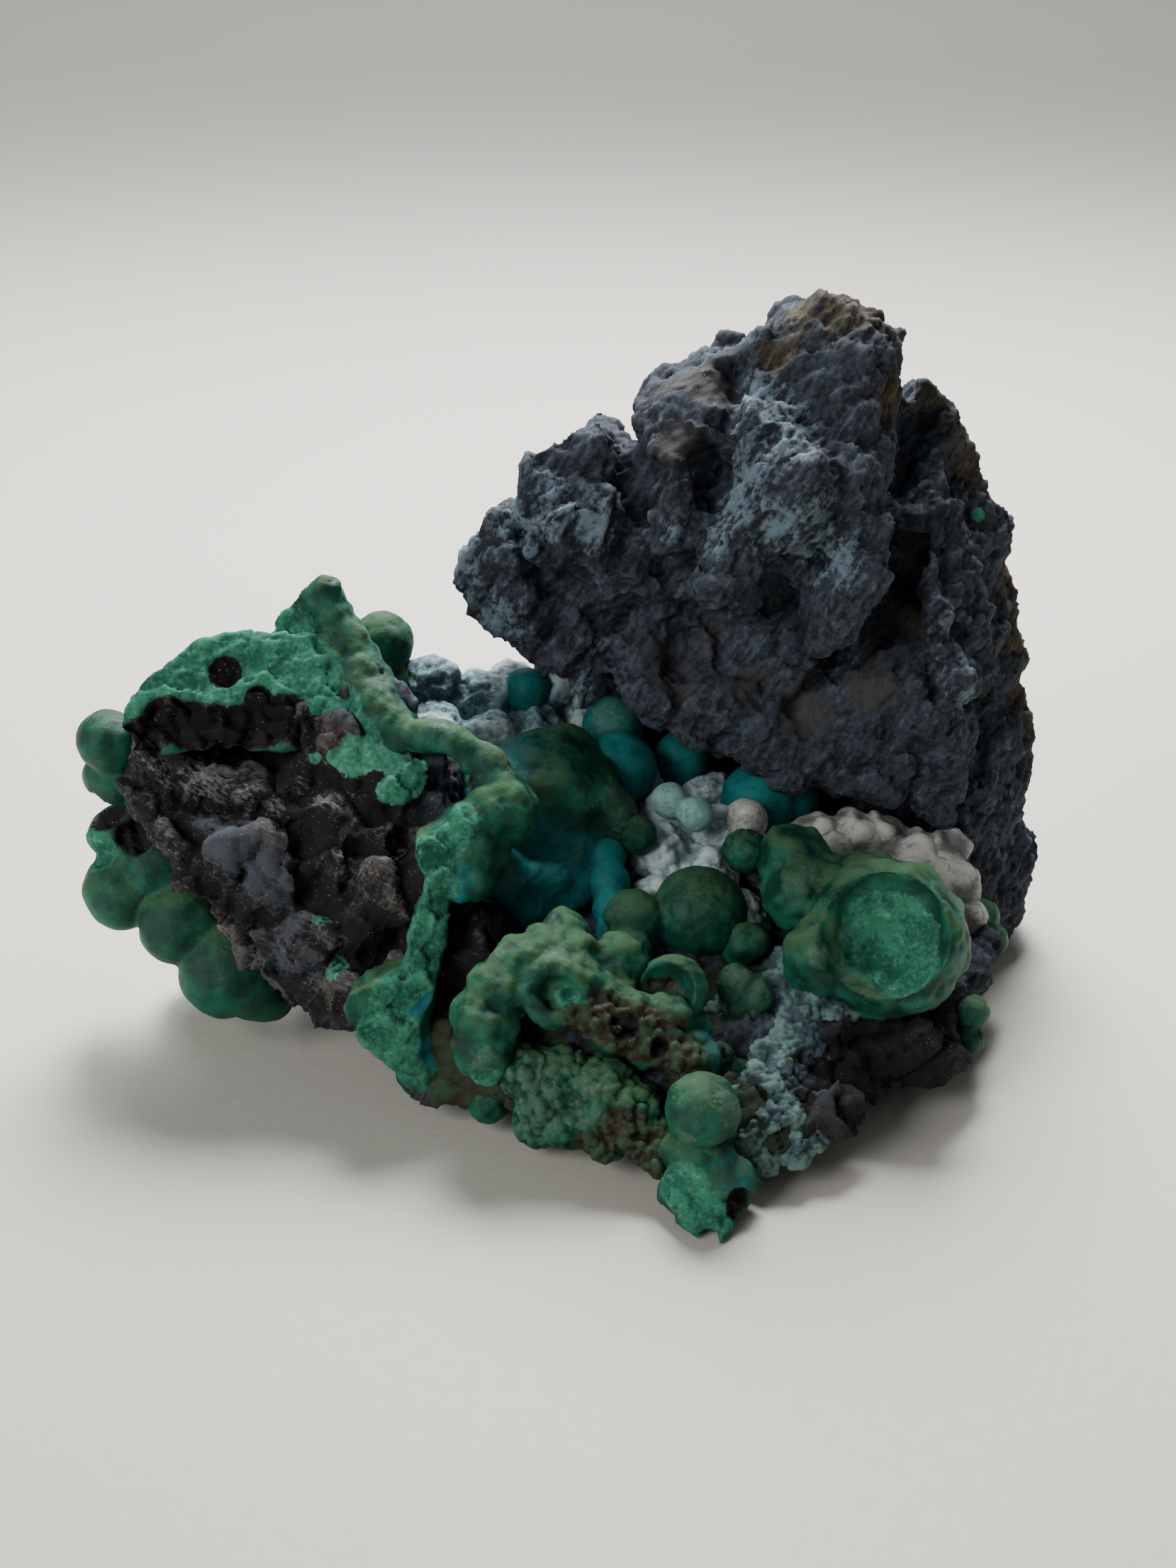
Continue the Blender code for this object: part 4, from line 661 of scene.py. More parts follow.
def sliced(thing, name, planes):
    """A copy of the part of a closed shape that lies on the kept side of every plane, closed again."""
    bm = bmesh.new()
    bm.from_mesh(thing.data)
    for point, kept_side in planes:
        geometry = bm.verts[:] + bm.edges[:] + bm.faces[:]
        away = Vector(kept_side) * -1
        cut = bmesh.ops.bisect_plane(bm, geom=geometry, plane_co=point, plane_no=away, clear_outer=True)
        rim = [e for e in cut["geom_cut"] if isinstance(e, bmesh.types.BMEdge)]
        bmesh.ops.triangle_fill(bm, edges=rim, use_beauty=True, use_dissolve=False)
    bmesh.ops.recalc_face_normals(bm, faces=bm.faces)
    part = bpy.data.objects.new(name, bpy.data.meshes.new(name))
    bm.to_mesh(part.data)
    bm.free()
    bpy.context.scene.collection.objects.link(part)
    return part


rock_skin, rock_place = new_skin("host_rock")
surface(rock_skin, *rock_look(rock_place), depth=0.10)
for name, planes in ROCK_CUTS.items():
    part = sliced(rock, name, [ABOVE_TABLE, *planes])
    settled(part, rock_skin, "host_rock", "host_rock")
bpy.data.objects.remove(rock)

# ==================================================================================== malachite masses
# Green copper carbonate that grew as balls, each on the last, until they ran into ribbons and grape-like
# masses. Their skin is satin dark green, dusted with yellowish ore on top; broken faces are chalky mint.
BALL_GRAIN, DRUSE_GRAIN, SMALL_GRAIN = 0.22, 0.16, 0.18
DARK_GREEN, MID_GREEN = rgb(0.002, 0.036, 0.022), rgb(0.006, 0.094, 0.055)
TEAL, TEAL_LIGHT = rgb(0.001, 0.075, 0.080), rgb(0.004, 0.150, 0.145)
DUST_OLIVE, DUST_PALE = rgb(0.046, 0.084, 0.032), rgb(0.150, 0.200, 0.120)
PALE_GREEN = rgb(0.042, 0.100, 0.070)
HAIR_RUN = Vector((0.7, 0.1, -0.7))
SATIN = 0.22


def grown(name, balls, blocks=(), bowls=(), inside_bowls=(), grain=BALL_GRAIN):
    """Balls and blocks grown together into one closed mass, with bowls broken out of it."""
    thing = welded(gathered(name, [ball(*b) for b in balls] + [boulder(b) for b in blocks]), grain)
    if bowls:
        cut_by(thing, gathered("bowls", [ball(*b) for b in bowls]))
        shell = bmesh.new()
        shell.from_mesh(thing.data)
        bpy.data.objects.remove(thing)
        thing = welded(gathered(name, [shell] + [ball(*b) for b in inside_bowls]), grain)
    return shaped_by(thing, "SMOOTH", factor=0.5, iterations=3)


# What a skin may show in places: a chalky break, bare rock, earth, a teal tint, a pale coat, and on the dome
# pale paint that is painted light where the rock shades it
SKIN_SPOTS = ("broken", "rocky", "mossy", "teal", "pale")
STONE_SPACING, STONE_HEIGHT = 1.7, 1.1
SPALL_SPACING = 2.4
CRUMB_SPACING, CRUMB_HEIGHT = 0.8, 0.5


def skinned(thing, beads=(0.9, 0.10), lumps=(2.4, 0.25), chips=0.35, **spots):
    """Gives a mass its lumps and its skin of small beads, and remembers what its material reads."""
    places = read(thing.data, "co")
    up = read(thing.data, "normal")[:, 2]
    masks = {name: within(places, spots.get(name, ())) for name in SKIN_SPOTS}
    cracked, stony, mossy = (np.clip(masks[name] * 4, 0, 1) for name in SKIN_SPOTS[:3])
    lifts = []
    for vertex, chipped, sunk, grainy in zip(thing.data.vertices, cracked, stony, mossy):
        place = vertex.co
        lump = noise.fractal(place / lumps[0], 0.9, 2.0, 2) * lumps[1]
        bead = (knob(place / beads[0]) - 0.5) * beads[1]
        grit = crag(place / STONE_SPACING) * STONE_HEIGHT if sunk > 0 else 0
        chip = crag(place / SPALL_SPACING) * chips if chipped > 0 else 0
        crumb = (knob(place / CRUMB_SPACING) - 0.6) * CRUMB_HEIGHT if grainy > 0 else 0
        lifts.append(lump + bead * (1 - chipped) + chip * chipped + (grit - 0.5) * sunk + crumb * grainy)
    remembered(thing, relief=lifts, up=up, **masks)
    return raised(thing, lifts)


def green_look(place, dust=1.0, teal=0.0):
    """The colour, roughness and height of a botryoidal skin, with its own share of dust and of teal."""
    relief = stored(place, "relief")
    grain = cloud(place, 0.35, 5.0, 0.65)
    patch = cloud(place, 2.2, 4.0)
    # Lower relief makes each colour here darker: painted shade between the lumps and beads. The patches and
    # the grain are the skin's own tone.
    colour = blend(ramp(patch + relief * 0.6, 0.35, 0.65), DARK_GREEN, MID_GREEN)
    tealness = ramp(stored(place, "teal") + patch * 0.8 - 0.4 + teal, 0.0, 0.5)
    colour = blend(tealness, colour, blend(ramp(patch + grain * 0.4, 0.5, 0.9), TEAL, TEAL_LIGHT))
    up = stored(place, "up")
    hairs = cloud(drawn_out(place, HAIR_RUN, 0.9), 0.30, 3.0, 0.6)
    dusty = ramp(up * 0.45 + hairs * 1.1 + patch * 0.5 + relief * 0.8 + (dust - 1) * 0.5, 1.00, 1.26)
    colour = blend(dusty * 0.65, colour, DUST_OLIVE)
    # Pale specks: dust on the green skin, and painted glints where bare rock shows.
    specks_and_glints = ramp(0.085 - dots(place, 0.46) + patch * 0.12 - 0.06, 0.0, 0.03)
    colour = blend(specks_and_glints * 0.8, colour, DUST_PALE)
    ragged = stored(place, "broken") + grain * 0.5 - 0.25
    # A thin paler rim round each broken face: partly the break's own pale edge, partly a painted highlight.
    edge = ramp(0.07 - ragged.math("ABSOLUTE", ragged), 0.0, 0.06)
    fresh = ramp(ragged, 0.0, 0.05)
    chalk = blend(ramp(grain + relief * 0.6, 0.35, 0.65), MINT_DEEP, MINT)
    chalk = blend(ramp(cloud(place, 0.8, 5.0, 0.7), 0.52, 0.72), chalk, MINT_LIGHT)
    colour = blend(edge * 0.18, blend(fresh, colour, chalk), MINT_LIGHT)
    pale = ramp(stored(place, "pale") * 0.7 + hairs * 0.8 + grain * 0.8 + relief - 0.8, 0.10, 0.40)
    colour = blend(pale * 0.6, colour, blend(ramp(grain, 0.5, 0.75), PALE_GREEN, DUST_PALE))
    mossy = ramp(stored(place, "mossy") + grain * 0.5 - 0.25, 0.0, 0.12)
    moss = blend(ramp(relief * 2.0 + patch, 0.45, 0.75), MOSS_BROWN, MOSS_GREEN)
    colour = blend(mossy, colour, blend(specks_and_glints, moss, DUST_PALE))
    rocky = ramp(stored(place, "rocky") + grain * 0.6 - 0.3, 0.0, 0.08)
    stone = blend(ramp(grain + relief * 0.5, 0.45, 0.75), FRESH_BLACK, FRESH_BROWN)
    stone = blend(specks_and_glints, stone, GLINT_WHITE)
    colour = blend(rocky, colour, stone)
    rough = 0.55 + dusty * 0.25 + fresh * 0.2 + rocky * 0.2
    return colour, rough, grain * 0.6 + hairs * 0.4


malachite_skin, malachite_place = new_skin("malachite")
surface(malachite_skin, *green_look(malachite_place), depth=0.09, gloss=SATIN)


def mass(node, name, balls, material=malachite_skin, slot="malachite", grain=BALL_GRAIN, **skin):
    """One grown mass, from its balls to the finished piece that stands for that solid."""
    shape = {part: skin.pop(part) for part in ("blocks", "bowls", "inside_bowls") if part in skin}
    thing = grown(name, balls, grain=grain, **shape)
    return settled(skinned(thing, **skin), material, slot, node)


# The rim is one crust: a chalky broken plate over the top of the left wall, with a horn on it, and the
# ribbon of folded balls that runs from it down to the foot of the wall.
RIM_CHAIN = [
    (-19.8, 3, 35, 1.2), (-19.9, 3, 33.6, 1.6), (-19, 2.4, 31.6, 2.1), (-18.2, 1.4, 30, 2.3),
    (-17, 0, 28.4, 2.3), (-16.1, -1.6, 27.6, 2.1), (-14.8, -3, 26.4, 2), (-13.6, -4.2, 26, 1.3),
    (-12.4, -4.6, 26.4, 1.3), (-11, -4.9, 26.6, 1.35), (-9.9, -5.2, 26.2, 1.35), (-8.9, -5.6, 25.6, 1.4),
    (-7.9, -6, 24.9, 1.45), (-6.9, -6.4, 24, 1.55), (-6.1, -7, 23.2, 1.6), (-6.2, -7.8, 22.1, 2.2),
    (-7.4, -8.2, 22.1, 1.9), (-5.9, -7.4, 20.7, 1.9), (-5.3, -6.6, 21.6, 1.6), (-8.8, -9, 21.4, 1.8),
    (-8.6, -9.4, 20.2, 1.9), (-8.6, -10, 18.9, 1.9), (-8.4, -10.6, 17.7, 1.8), (-9.4, -11.2, 17.6, 1.5),
    (-7.4, -8.8, 18.7, 1.6), (-7.9, -9.6, 17.6, 1.6), (-11.2, -10.6, 19.6, 1.5), (-13.6, -14.4, 9.4, 2.4),
    (-15.4, -15, 9.2, 2.2), (-12.8, -14.8, 6.6, 1.9), (-12, -14.8, 4.8, 1.8), (-12.8, -14.9, 3.2, 1.7),
]
MINT_BAND = [
    # the band's left and right edge, from its top to its foot
    ((-10, -9.6, 22.2), (-8.9, -9.8, 21.4)), ((-11.1, -10.8, 21.5), (-9.5, -10.6, 20.5)),
    ((-12.5, -12.2, 21.4), (-9.8, -11.6, 19.7)), ((-12.6, -12.8, 20.6), (-9.9, -12.2, 18.7)),
    ((-11.6, -13, 18.7), (-10.1, -12.6, 17.5)), ((-12, -13.6, 17.2), (-10.1, -13.2, 16.3)),
    ((-12.8, -14.2, 15.7), (-10.2, -13.8, 15)), ((-13.1, -14.8, 14.2), (-10.6, -14.2, 13.4)),
    ((-13.3, -15.6, 12.8), (-10.8, -15, 12.5)), ((-15.5, -16.8, 12.4), (-11.1, -15.8, 11.8)),
    ((-17.3, -17.4, 11.8), (-11.2, -16.6, 10.7)), ((-17.6, -17.6, 10), (-12, -17, 9.3)),
    ((-17, -17.4, 8.3), (-12.2, -17, 7)), ((-15.7, -17, 6.4), (-12, -16.8, 5)),
    ((-14, -16.8, 4.6), (-12.2, -16.6, 3.6)),
]
BAND_THICKNESS, BAND_BROKEN = 2.6, 1.6
LINKED = 16  # so many of the chain's balls run into each other as one ribbon, with a ball halfway between
MINT_LOBE = [
    (-15.3, -7.6, 23.5), (-14.3, -7, 24.7), (-12.9, -6.2, 25.7), (-11.7, -6.2, 25), (-11.8, -6.8, 23.5),
    (-12.3, -7.4, 22.5), (-14.5, -8.4, 22.1), (-15, -8.2, 22.6), (-13.5, -5, 24.2),
]
RIM_HORN = [
    (-24.2, 2.6, 32.4), (-22, 3.2, 34.7), (-20.3, 3.6, 36.2), (-19.2, 3.4, 35.6), (-18.9, 3.2, 32.2),
    (-18, 2.6, 30.6), (-23, 1.4, 30), (-23, 5, 31), (-18.6, 5, 30.6), (-20.4, 4.6, 35.2),
]
RIM_PLATE = [
    (-20, 0.4, 32.6), (-25.6, 0.6, 32.8), (-29.4, -0.2, 32.4), (-31, -1, 31.3), (-33.6, -2.6, 29.8),
    (-35.2, -4.2, 27), (-34, -5, 25), (-29.4, -4.2, 27.4), (-25, -3.2, 28.6), (-20.5, -4, 27.6),
    (-15.4, -4, 24.8), (-14.6, -2, 26.4), (-33, 4, 27), (-26, 5, 30), (-18, 4.5, 29),
]
RIM_BROKEN = [
    (-33.1, -3.4, 28.5, 3.2), (-31, -1.5, 30.9, 3.2), (-27.4, -0.4, 32, 3.6), (-24.1, 0.2, 32.4, 3.4),
    (-22.2, -1.8, 30.2, 3.6), (-25.3, -3.3, 29, 3), (-28.6, -2.9, 29.3, 3), (-19.3, -3.2, 27.9, 2.4),
    (-17.4, -4.4, 25.8, 2), (-13.5, -6.8, 23.8, 2.2), (-14.6, -17, 8.2, 2.4),
]
RIM_ROCKY = [
    (-27.2, -1.8, 30.4, 1.3), (-31.4, -3.9, 27.4, 1.9), (-29.6, -4.1, 27, 2), (-27.8, -4.3, 26.8, 2),
    (-26, -4.3, 26.8, 2), (-24.2, -4.2, 27.2, 2), (-22.6, -4, 27.6, 2), (-20.9, -4.3, 26.4, 1.6),
    (-33.2, -4.8, 26.2, 1.8), (-24.6, -3.2, 28.8, 1.1), (-10.4, -5.6, 24.4, 1.5), (-9, -6.4, 23, 1.3),
]
RIM_TEAL = [
    (-9.6, -12.6, 18.6, 1.6), (-9.6, -13, 17, 1.4), (-12.4, -16.6, 10.6, 1.6), (-12.2, -16.4, 7.4, 1.8),
    (-12.4, -16.2, 4.4, 2.4),
]


def strip(edges, thickness):
    """Blocks in a row that make a bent strip, from the places of its left and right edge."""
    ends = [[*edge, *((x, y + thickness, z) for x, y, z in edge)] for edge in edges]
    return [start + end for start, end in zip(ends, ends[1:])]


band_spots = [(*(Vector(left) + Vector(right)) / 2, BAND_BROKEN) for left, right in MINT_BAND]
links = [tuple((Vector(a) + Vector(b)) / 2) for a, b in zip(RIM_CHAIN, RIM_CHAIN[1:LINKED])]
mass(
    "malachite_rim", "malachite_rim_crust", RIM_CHAIN + links, slot="broken_malachite",
    blocks=[RIM_HORN, RIM_PLATE, MINT_LOBE] + strip(MINT_BAND, BAND_THICKNESS), beads=(0.9, 0.08),
    lumps=(1.8, 0.30), broken=RIM_BROKEN + band_spots, rocky=RIM_ROCKY, teal=RIM_TEAL,
)

# The big dome behind the ribbon is several balls that grew into one, on the hollow's floor. Its green skin
# is thin, so that the teal below shows through at its foot, and it is less dusty than the other masses.
DOME = [
    (-3.2, 1.6, 17.1, 6.3), (-3.3, -4, 13.5, 3.2), (-1.2, -3.6, 13.7, 2.5), (-5.3, -4.6, 13.6, 3.5),
    (-6.6, -0.4, 18.2, 4.4), (-0.6, 0.6, 15.6, 4.6), (-0.2, -2.4, 13.6, 3), (-6.8, -5.6, 15, 3),
]
DOME_TEAL = [(-4.2, -6.8, 13.8, 4.4), (-1.6, -5, 13.2, 3.6), (-8, 0, 21, 3)]
# Paler patches on the dome's lower right, where the rock shades it: painted light.
DOME_PAINTED_LIGHT = [(1.7, -1.6, 16.3, 4), (3.6, -2.8, 18.2, 3.2)]
dome_skin, dome_place = new_skin("malachite_dome")
surface(dome_skin, *green_look(dome_place, dust=0.62, teal=0.68), depth=0.09, gloss=SATIN)
mass(
    "malachite_dome", "malachite_dome_skin", DOME, dome_skin, "malachite", beads=(0.6, 0.12),
    lumps=(4.0, 0.8), teal=DOME_TEAL, pale=DOME_PAINTED_LIGHT,
)

# Smooth balls that hang like grapes down the outside of the left wall, which also stands on them, and the
# ball pair behind it. They grew on the rock; some have broken and show its black or their mint inside.
LEFT_BALLS = [
    (-36.6, -1.6, 24.6, 2.5), (-36.6, -0.4, 21.2, 2.6), (-37, -0.6, 15.9, 2.4), (-36.4, -2.2, 12.1, 3.3),
    (-31.7, -4.3, 10.2, 3.5), (-28, -5.6, 7, 4.1), (-33.6, -2, 14.4, 3.2), (-37.6, -0.2, 10.6, 2.4),
    (-31, 1.5, 5.4, 3.6), (-34, 3, 17.6, 3.6), (-26, -5, 4.4, 2.9), (-29, -1, 3.8, 3.4),
]
LEFT_ROCKY = [
    (-37.6, -1.4, 18.4, 1.7), (-38.4, -2, 19.4, 1.2), (-35, -3, 17.2, 1.8), (-39.4, -0.8, 8.6, 1.6),
]
LEFT_BROKEN = [(-38.4, -2.4, 15.6, 1.9), (-37.6, -3, 14, 1)]
BACK_LEFT = [(-16.7, 12, 27, 2.5), (-17, 10.4, 23.8, 2.5), (-19.2, 11, 24.4, 2)]
BACK_TEAL = [(-16.8, 9.4, 22.6, 2.6)]
mass(
    "left_balls", "malachite_left_balls", LEFT_BALLS, beads=(1.4, 0.05), lumps=(3.4, 0.35),
    broken=LEFT_BROKEN, rocky=LEFT_ROCKY,
)
mass(
    "back_left_balls", "malachite_back_balls", BACK_LEFT,
    lumps=(3.0, 0.2), teal=BACK_TEAL,
)

# Three balls that grew together in the middle of the hollow's mouth, and the squat lump beside them. They
# are malachite on the crust of the hollow's floor, and turn teal near their foot.
CENTRE_BALLS = [(8.6, -6, 11.8, 3.75), (3.4, -7.4, 12, 2.5), (2.9, -9.8, 10.7, 2.1)]
CENTRE_TEAL = [(3.9, -7.4, 11, 3), (3, -10.2, 10.7, 2.6)]
SIDE_LUMP = [(12.2, -8.8, 10.9, 1.7), (11.6, -8.2, 9.6, 1.8)]
mass("centre_balls", "malachite_centre_balls", CENTRE_BALLS, lumps=(3.0, 0.1), teal=CENTRE_TEAL)
mass("side_lump", "malachite_side_lump", SIDE_LUMP, lumps=(1.8, 0.2))

# The right-hand lobes end in a large ball that is broken open as a bowl: a dusty green crust outside and a
# chalky mint floor. It grew over the front edge of the rock.
CUP_LOBES = [
    (15.9, -4, 15.7, 2.7), (16.2, -6.6, 13.9, 2.9), (18.4, -6, 13.6, 3.2), (21, -7, 13.2, 4.2),
    (22.3, -11.2, 12.8, 6), (17.2, -13, 12.4, 2.9),
]
CUP_BOWL = (21.2, -16.3, 16.4, 5.3)
CUP_FLOOR = [(22.2, -12.2, 13.2, 3.9), (23.2, -13.4, 11.6, 3.2)]
CUP_PALE = [(16, -8.4, 16.4, 1.6), (27.4, -11.6, 15.4, 1.6), (17, -15.6, 14, 1.4)]
mass(
    "malachite_cup", "malachite_cup_shell", CUP_LOBES, bowls=[CUP_BOWL], lumps=(2.2, 0.45), chips=0.08,
    broken=CUP_FLOOR, pale=CUP_PALE,
)

# The arc along the front is a row of balls that ran into each other. One of them is broken open and shows
# a ring with a bead in it, and brown earth sticks to the arc's end. Half a ball stands behind that end.
ARC = [
    (-7.3, -19, 8.3, 2.5), (-7.4, -18.6, 10.7, 2.5), (-6.4, -17.4, 12.4, 2.4), (-4.9, -16.4, 13.8, 2.2),
    (-3, -15.4, 14.2, 2.1), (-1.1, -15.2, 13.6, 2.1), (-1.8, -13.6, 14.6, 1.9), (-2.2, -17, 12.4, 2.9),
    (-0.5, -17.2, 12.7, 1.9), (2.3, -14.4, 12.9, 2.1), (2.5, -15.4, 11.8, 1.6), (1.2, -17.2, 11.4, 1.8),
    (0.4, -18.8, 11, 1.8), (1.8, -19.4, 10, 1.8), (3.5, -18.6, 10.7, 1.9), (4.2, -19.4, 9.2, 1.9),
    (5.6, -18.4, 10.5, 1.9), (6.1, -19.6, 8.8, 1.9), (7, -21, 8.4, 1.6), (7.4, -18.6, 8.6, 1.4),
    (8.4, -19.6, 7.8, 1.3), (7.8, -17, 9, 1.2),
]
RING_MIDDLE, RING_RADIUS, RING_TUBE = Vector((-2.3, -18.9, 13.0)), 1.9, 0.75
RING_FACES = Vector((0.05, -0.85, 0.5))
RING_BALLS = 16
ARC_BOWLS = [(-2.4, -20.4, 13.9, 2.2)]
ARC_BEAD = [(-1.5, -18.5, 12.6, 0.95)]
ARC_BROKEN = [(-1.5, -19.4, 12.9, 0.9), (-7.2, -21, 7.2, 1.2), (-8.6, -15.6, 13.4, 1.1)]
ARC_ROCKY = [(-3.2, -18.8, 11.6, 0.9), (2.6, -20.4, 11.2, 1.1), (5, -20.6, 9.6, 0.9)]
ARC_MOSSY = [
    (1.2, -19.6, 11.4, 2.2), (3.4, -20.2, 10.6, 2.4), (5.4, -20.6, 10, 2.3), (6.8, -21.4, 9, 2),
    (-0.6, -19.6, 11.2, 1.6), (-9, -18.6, 9.4, 1.4),
]
ARC_TEAL = [(6.8, -17.6, 9.6, 2.2), (8.2, -19.4, 8.6, 2)]
ARC_PALE = [(-7.4, -21, 9, 1.2), (-2.2, -17, 15, 1.6), (-6, -17, 14.6, 1.2)]
DISC = [(6.2, -16, 11.4, 2.6)]
DISC_FACE = [(5.2, -18.2, 12.5, 2.5)]
DISC_MOSSY = [(5.4, -16.6, 11.2, 1.6)]


def ring(middle, radius, tube, faces, count):
    """Balls along a circle that faces one way."""
    turn = faces.to_track_quat("Z", "Y")
    steps = [2 * math.pi * step / count for step in range(count)]
    return [(*(middle + turn @ Vector((math.cos(a), math.sin(a), 0)) * radius), tube) for a in steps]


arc_ring = ring(RING_MIDDLE, RING_RADIUS, RING_TUBE, RING_FACES, RING_BALLS)
mass(
    "front_arc", "malachite_arc", ARC, bowls=ARC_BOWLS, inside_bowls=arc_ring + ARC_BEAD,
    beads=(0.9, 0.12), lumps=(1.6, 0.35), broken=ARC_BROKEN, rocky=ARC_ROCKY, mossy=ARC_MOSSY,
    teal=ARC_TEAL, pale=ARC_PALE,
)
mass(
    "half_disc", "malachite_half_ball", DISC,
    bowls=DISC_FACE, lumps=(2.0, 0.05), mossy=DISC_MOSSY,
)

# The cushion under the arc is a druse of tiny malachite beads, brown with earth at its right end. A round
# ball grew on that end, and below it hangs a tip with chalky broken faces, which touches the table.
FRONT_DRUSE = [
    (-4.1, -19.6, 6.5, 2.3), (-1.7, -20, 6.3, 2.5), (0.8, -21, 6, 2.5), (2.9, -22, 4.9, 2.5),
    (-3.5, -20, 2.8, 2.1), (-1.1, -21, 3.6, 2.3), (4.1, -23.4, 3.5, 1.9), (1.2, -22.2, 3.4, 2.1),
    (-3, -20.2, 4.8, 2.4), (5.2, -24.4, 3, 1.6),
]
DRUSE_PALE = [(-3, -21, 6, 3.4), (-0.6, -22.2, 6, 2.6), (-4, -21.4, 3.4, 2)]
DRUSE_MOSSY = [(2.6, -23.6, 4.6, 2.2), (0.4, -23.6, 3, 1.6), (4.6, -24.8, 3.4, 2.2)]
ROUND_BALL = [(8, -25, 7.3, 2.65)]
ROUND_PALE = [(10, -26.2, 8.6, 2), (6.4, -27.2, 6.4, 1.2)]
FRONT_TIP = [
    (8, -25.6, 3.9, 2.4), (6.2, -25.4, 4, 1.3), (8.6, -27, 2.6, 2), (10.4, -26.6, 2.6, 1.5),
    (7, -27.4, 2, 1.7), (9.6, -28, 1.7, 1.4), (8.4, -28.6, 1.2, 1.3),
]
TIP_PLATES = [
    [
        (4.6, -27.2, 2.4), (5.5, -27, 4.2), (6.5, -26.8, 4.3), (6.1, -28.2, 2.6), (5.7, -27.8, 0.8),
        (4.7, -27.4, 1.2), (7.5, -25, 3.5), (7, -25, 1),
    ],
    [
        (6.2, -28.2, 3.7), (7.5, -27.8, 4.1), (8.7, -28.6, 3), (8.6, -29, 1.2), (7.6, -29.4, 0),
        (7, -29.2, 0.3), (6.1, -28.8, 0.6), (7.6, -30.4, 0), (8, -25.6, 3.4), (7.4, -25.6, 0.6),
    ],
    [
        (9.1, -27.8, 3.3), (11.2, -26.6, 3.4), (12.2, -26.4, 2.2), (11.3, -27.4, 1), (10.6, -28.4, 0.2),
        (9.3, -30, 0), (8.6, -29, 1.2), (9, -31, 0), (9.4, -25, 3), (10.4, -25, 0.8),
    ],
]
TIP_BROKEN = [(6.6, -28.4, 3, 1.9), (8.6, -29.4, 1.4, 2)]
TIP_ROCKY, TIP_TEAL = [(10.4, -28.6, 2, 1.2)], [(9.6, -27.4, 3.4, 2.2)]
mass(
    "front_druse", "malachite_front_druse", FRONT_DRUSE, grain=DRUSE_GRAIN, beads=(0.75, 0.40),
    lumps=(2.2, 0.4), pale=DRUSE_PALE, mossy=DRUSE_MOSSY,
)
mass(
    "round_ball", "malachite_round_ball", ROUND_BALL,
    lumps=(2.0, 0.14), pale=ROUND_PALE,
)
mass(
    "front_tip", "malachite_front_tip", FRONT_TIP, slot="broken_malachite", blocks=TIP_PLATES,
    broken=TIP_BROKEN, rocky=TIP_ROCKY, teal=TIP_TEAL,
)

# Small malachite balls that stand alone on the floor and along the edges, and the cluster of fine green
# grapes beside the blue druse, which is paler on top. Each grew where it is.
GRAPES = [
    (11, -13.4, 10.2, 1.5), (12.4, -13.8, 9.4, 1.4), (10.9, -13.8, 8.6, 1.1), (12, -14.4, 7.9, 1.2),
    (13.2, -14.2, 7.3, 1.1), (11, -15, 7.2, 1.1), (12.2, -15.4, 6.6, 1.1), (13.6, -14.8, 6.4, 1),
    (11.2, -16.2, 6.3, 0.9), (12.2, -16.4, 5.8, 0.9), (10.4, -16, 6.6, 0.9), (10.4, -18.2, 5.8, 1),
    (9.6, -17.6, 6.6, 1.1), (11.2, -17.4, 5.6, 1),
]
GRAPES_PALE = [(11.2, -14.4, 10, 4.2), (12.8, -15.2, 8.4, 3)]
SMALL_GREEN = {
    "small_front_ball": [(-7.4, -17.4, 2.5, 1.6)],
    "right_green_lump": [(31.6, 0, 8, 1.6), (32.4, -1, 6.4, 1.5)],
    "edge_green_lump": [(29.2, -11.4, 6.4, 1.3), (29, -12, 4.4, 1.2)],
    "green_bead_left": [(3.9, -2, 16.6, 1.5)],
    "green_bead_right": [(12.3, -2, 15.2, 1.8)],
    "green_grapes": GRAPES,
}
for node, balls in SMALL_GREEN.items():
    mass(
        node, f"malachite_{node}", balls,
        grain=SMALL_GRAIN, beads=(0.8, 0.16), lumps=(1.6, 0.1), pale=GRAPES_PALE if balls is GRAPES else [],
    )

# ==================================================================================== chrysocolla
# Blue-green copper silicate in the hollow: smooth teal domes and a finger, which are the same growth
# without the green skin. They sit on the pale crust under the overhang, and only their tops are dusted.
TEAL_MASSES = {
    "chrysocolla_finger": [
        (1.4, -3.2, 15.4, 1.6), (1.7, -4.8, 13.9, 1.7), (1.9, -6.4, 12.6, 1.6), (2, -8, 11.6, 1.5),
    ],
    "teal_domes_left": [(2.4, 5.2, 18.7, 3.2), (2, 8.6, 21, 2.5)],
    "teal_dome_right": [(14, 6, 15.5, 3.2), (16.6, 7, 15.2, 2.4)],
    "dark_teal_dome": [(7.7, 9, 17.8, 2.4)],
    "far_teal_dome": [(-5, 11, 23, 2)],
}
TEAL_DUSTED = [(2, 7.2, 22.4, 2.6)]
teal_skin, teal_place = new_skin("teal_chrysocolla")
surface(teal_skin, *green_look(teal_place, dust=0.2, teal=1.6), depth=0.05, gloss=0.15)
for node, balls in TEAL_MASSES.items():
    mass(
        node, f"{node}_skin", balls, teal_skin, "teal_chrysocolla",
        beads=(1.2, 0.04), lumps=(2.4, 0.1), pale=TEAL_DUSTED,
    )

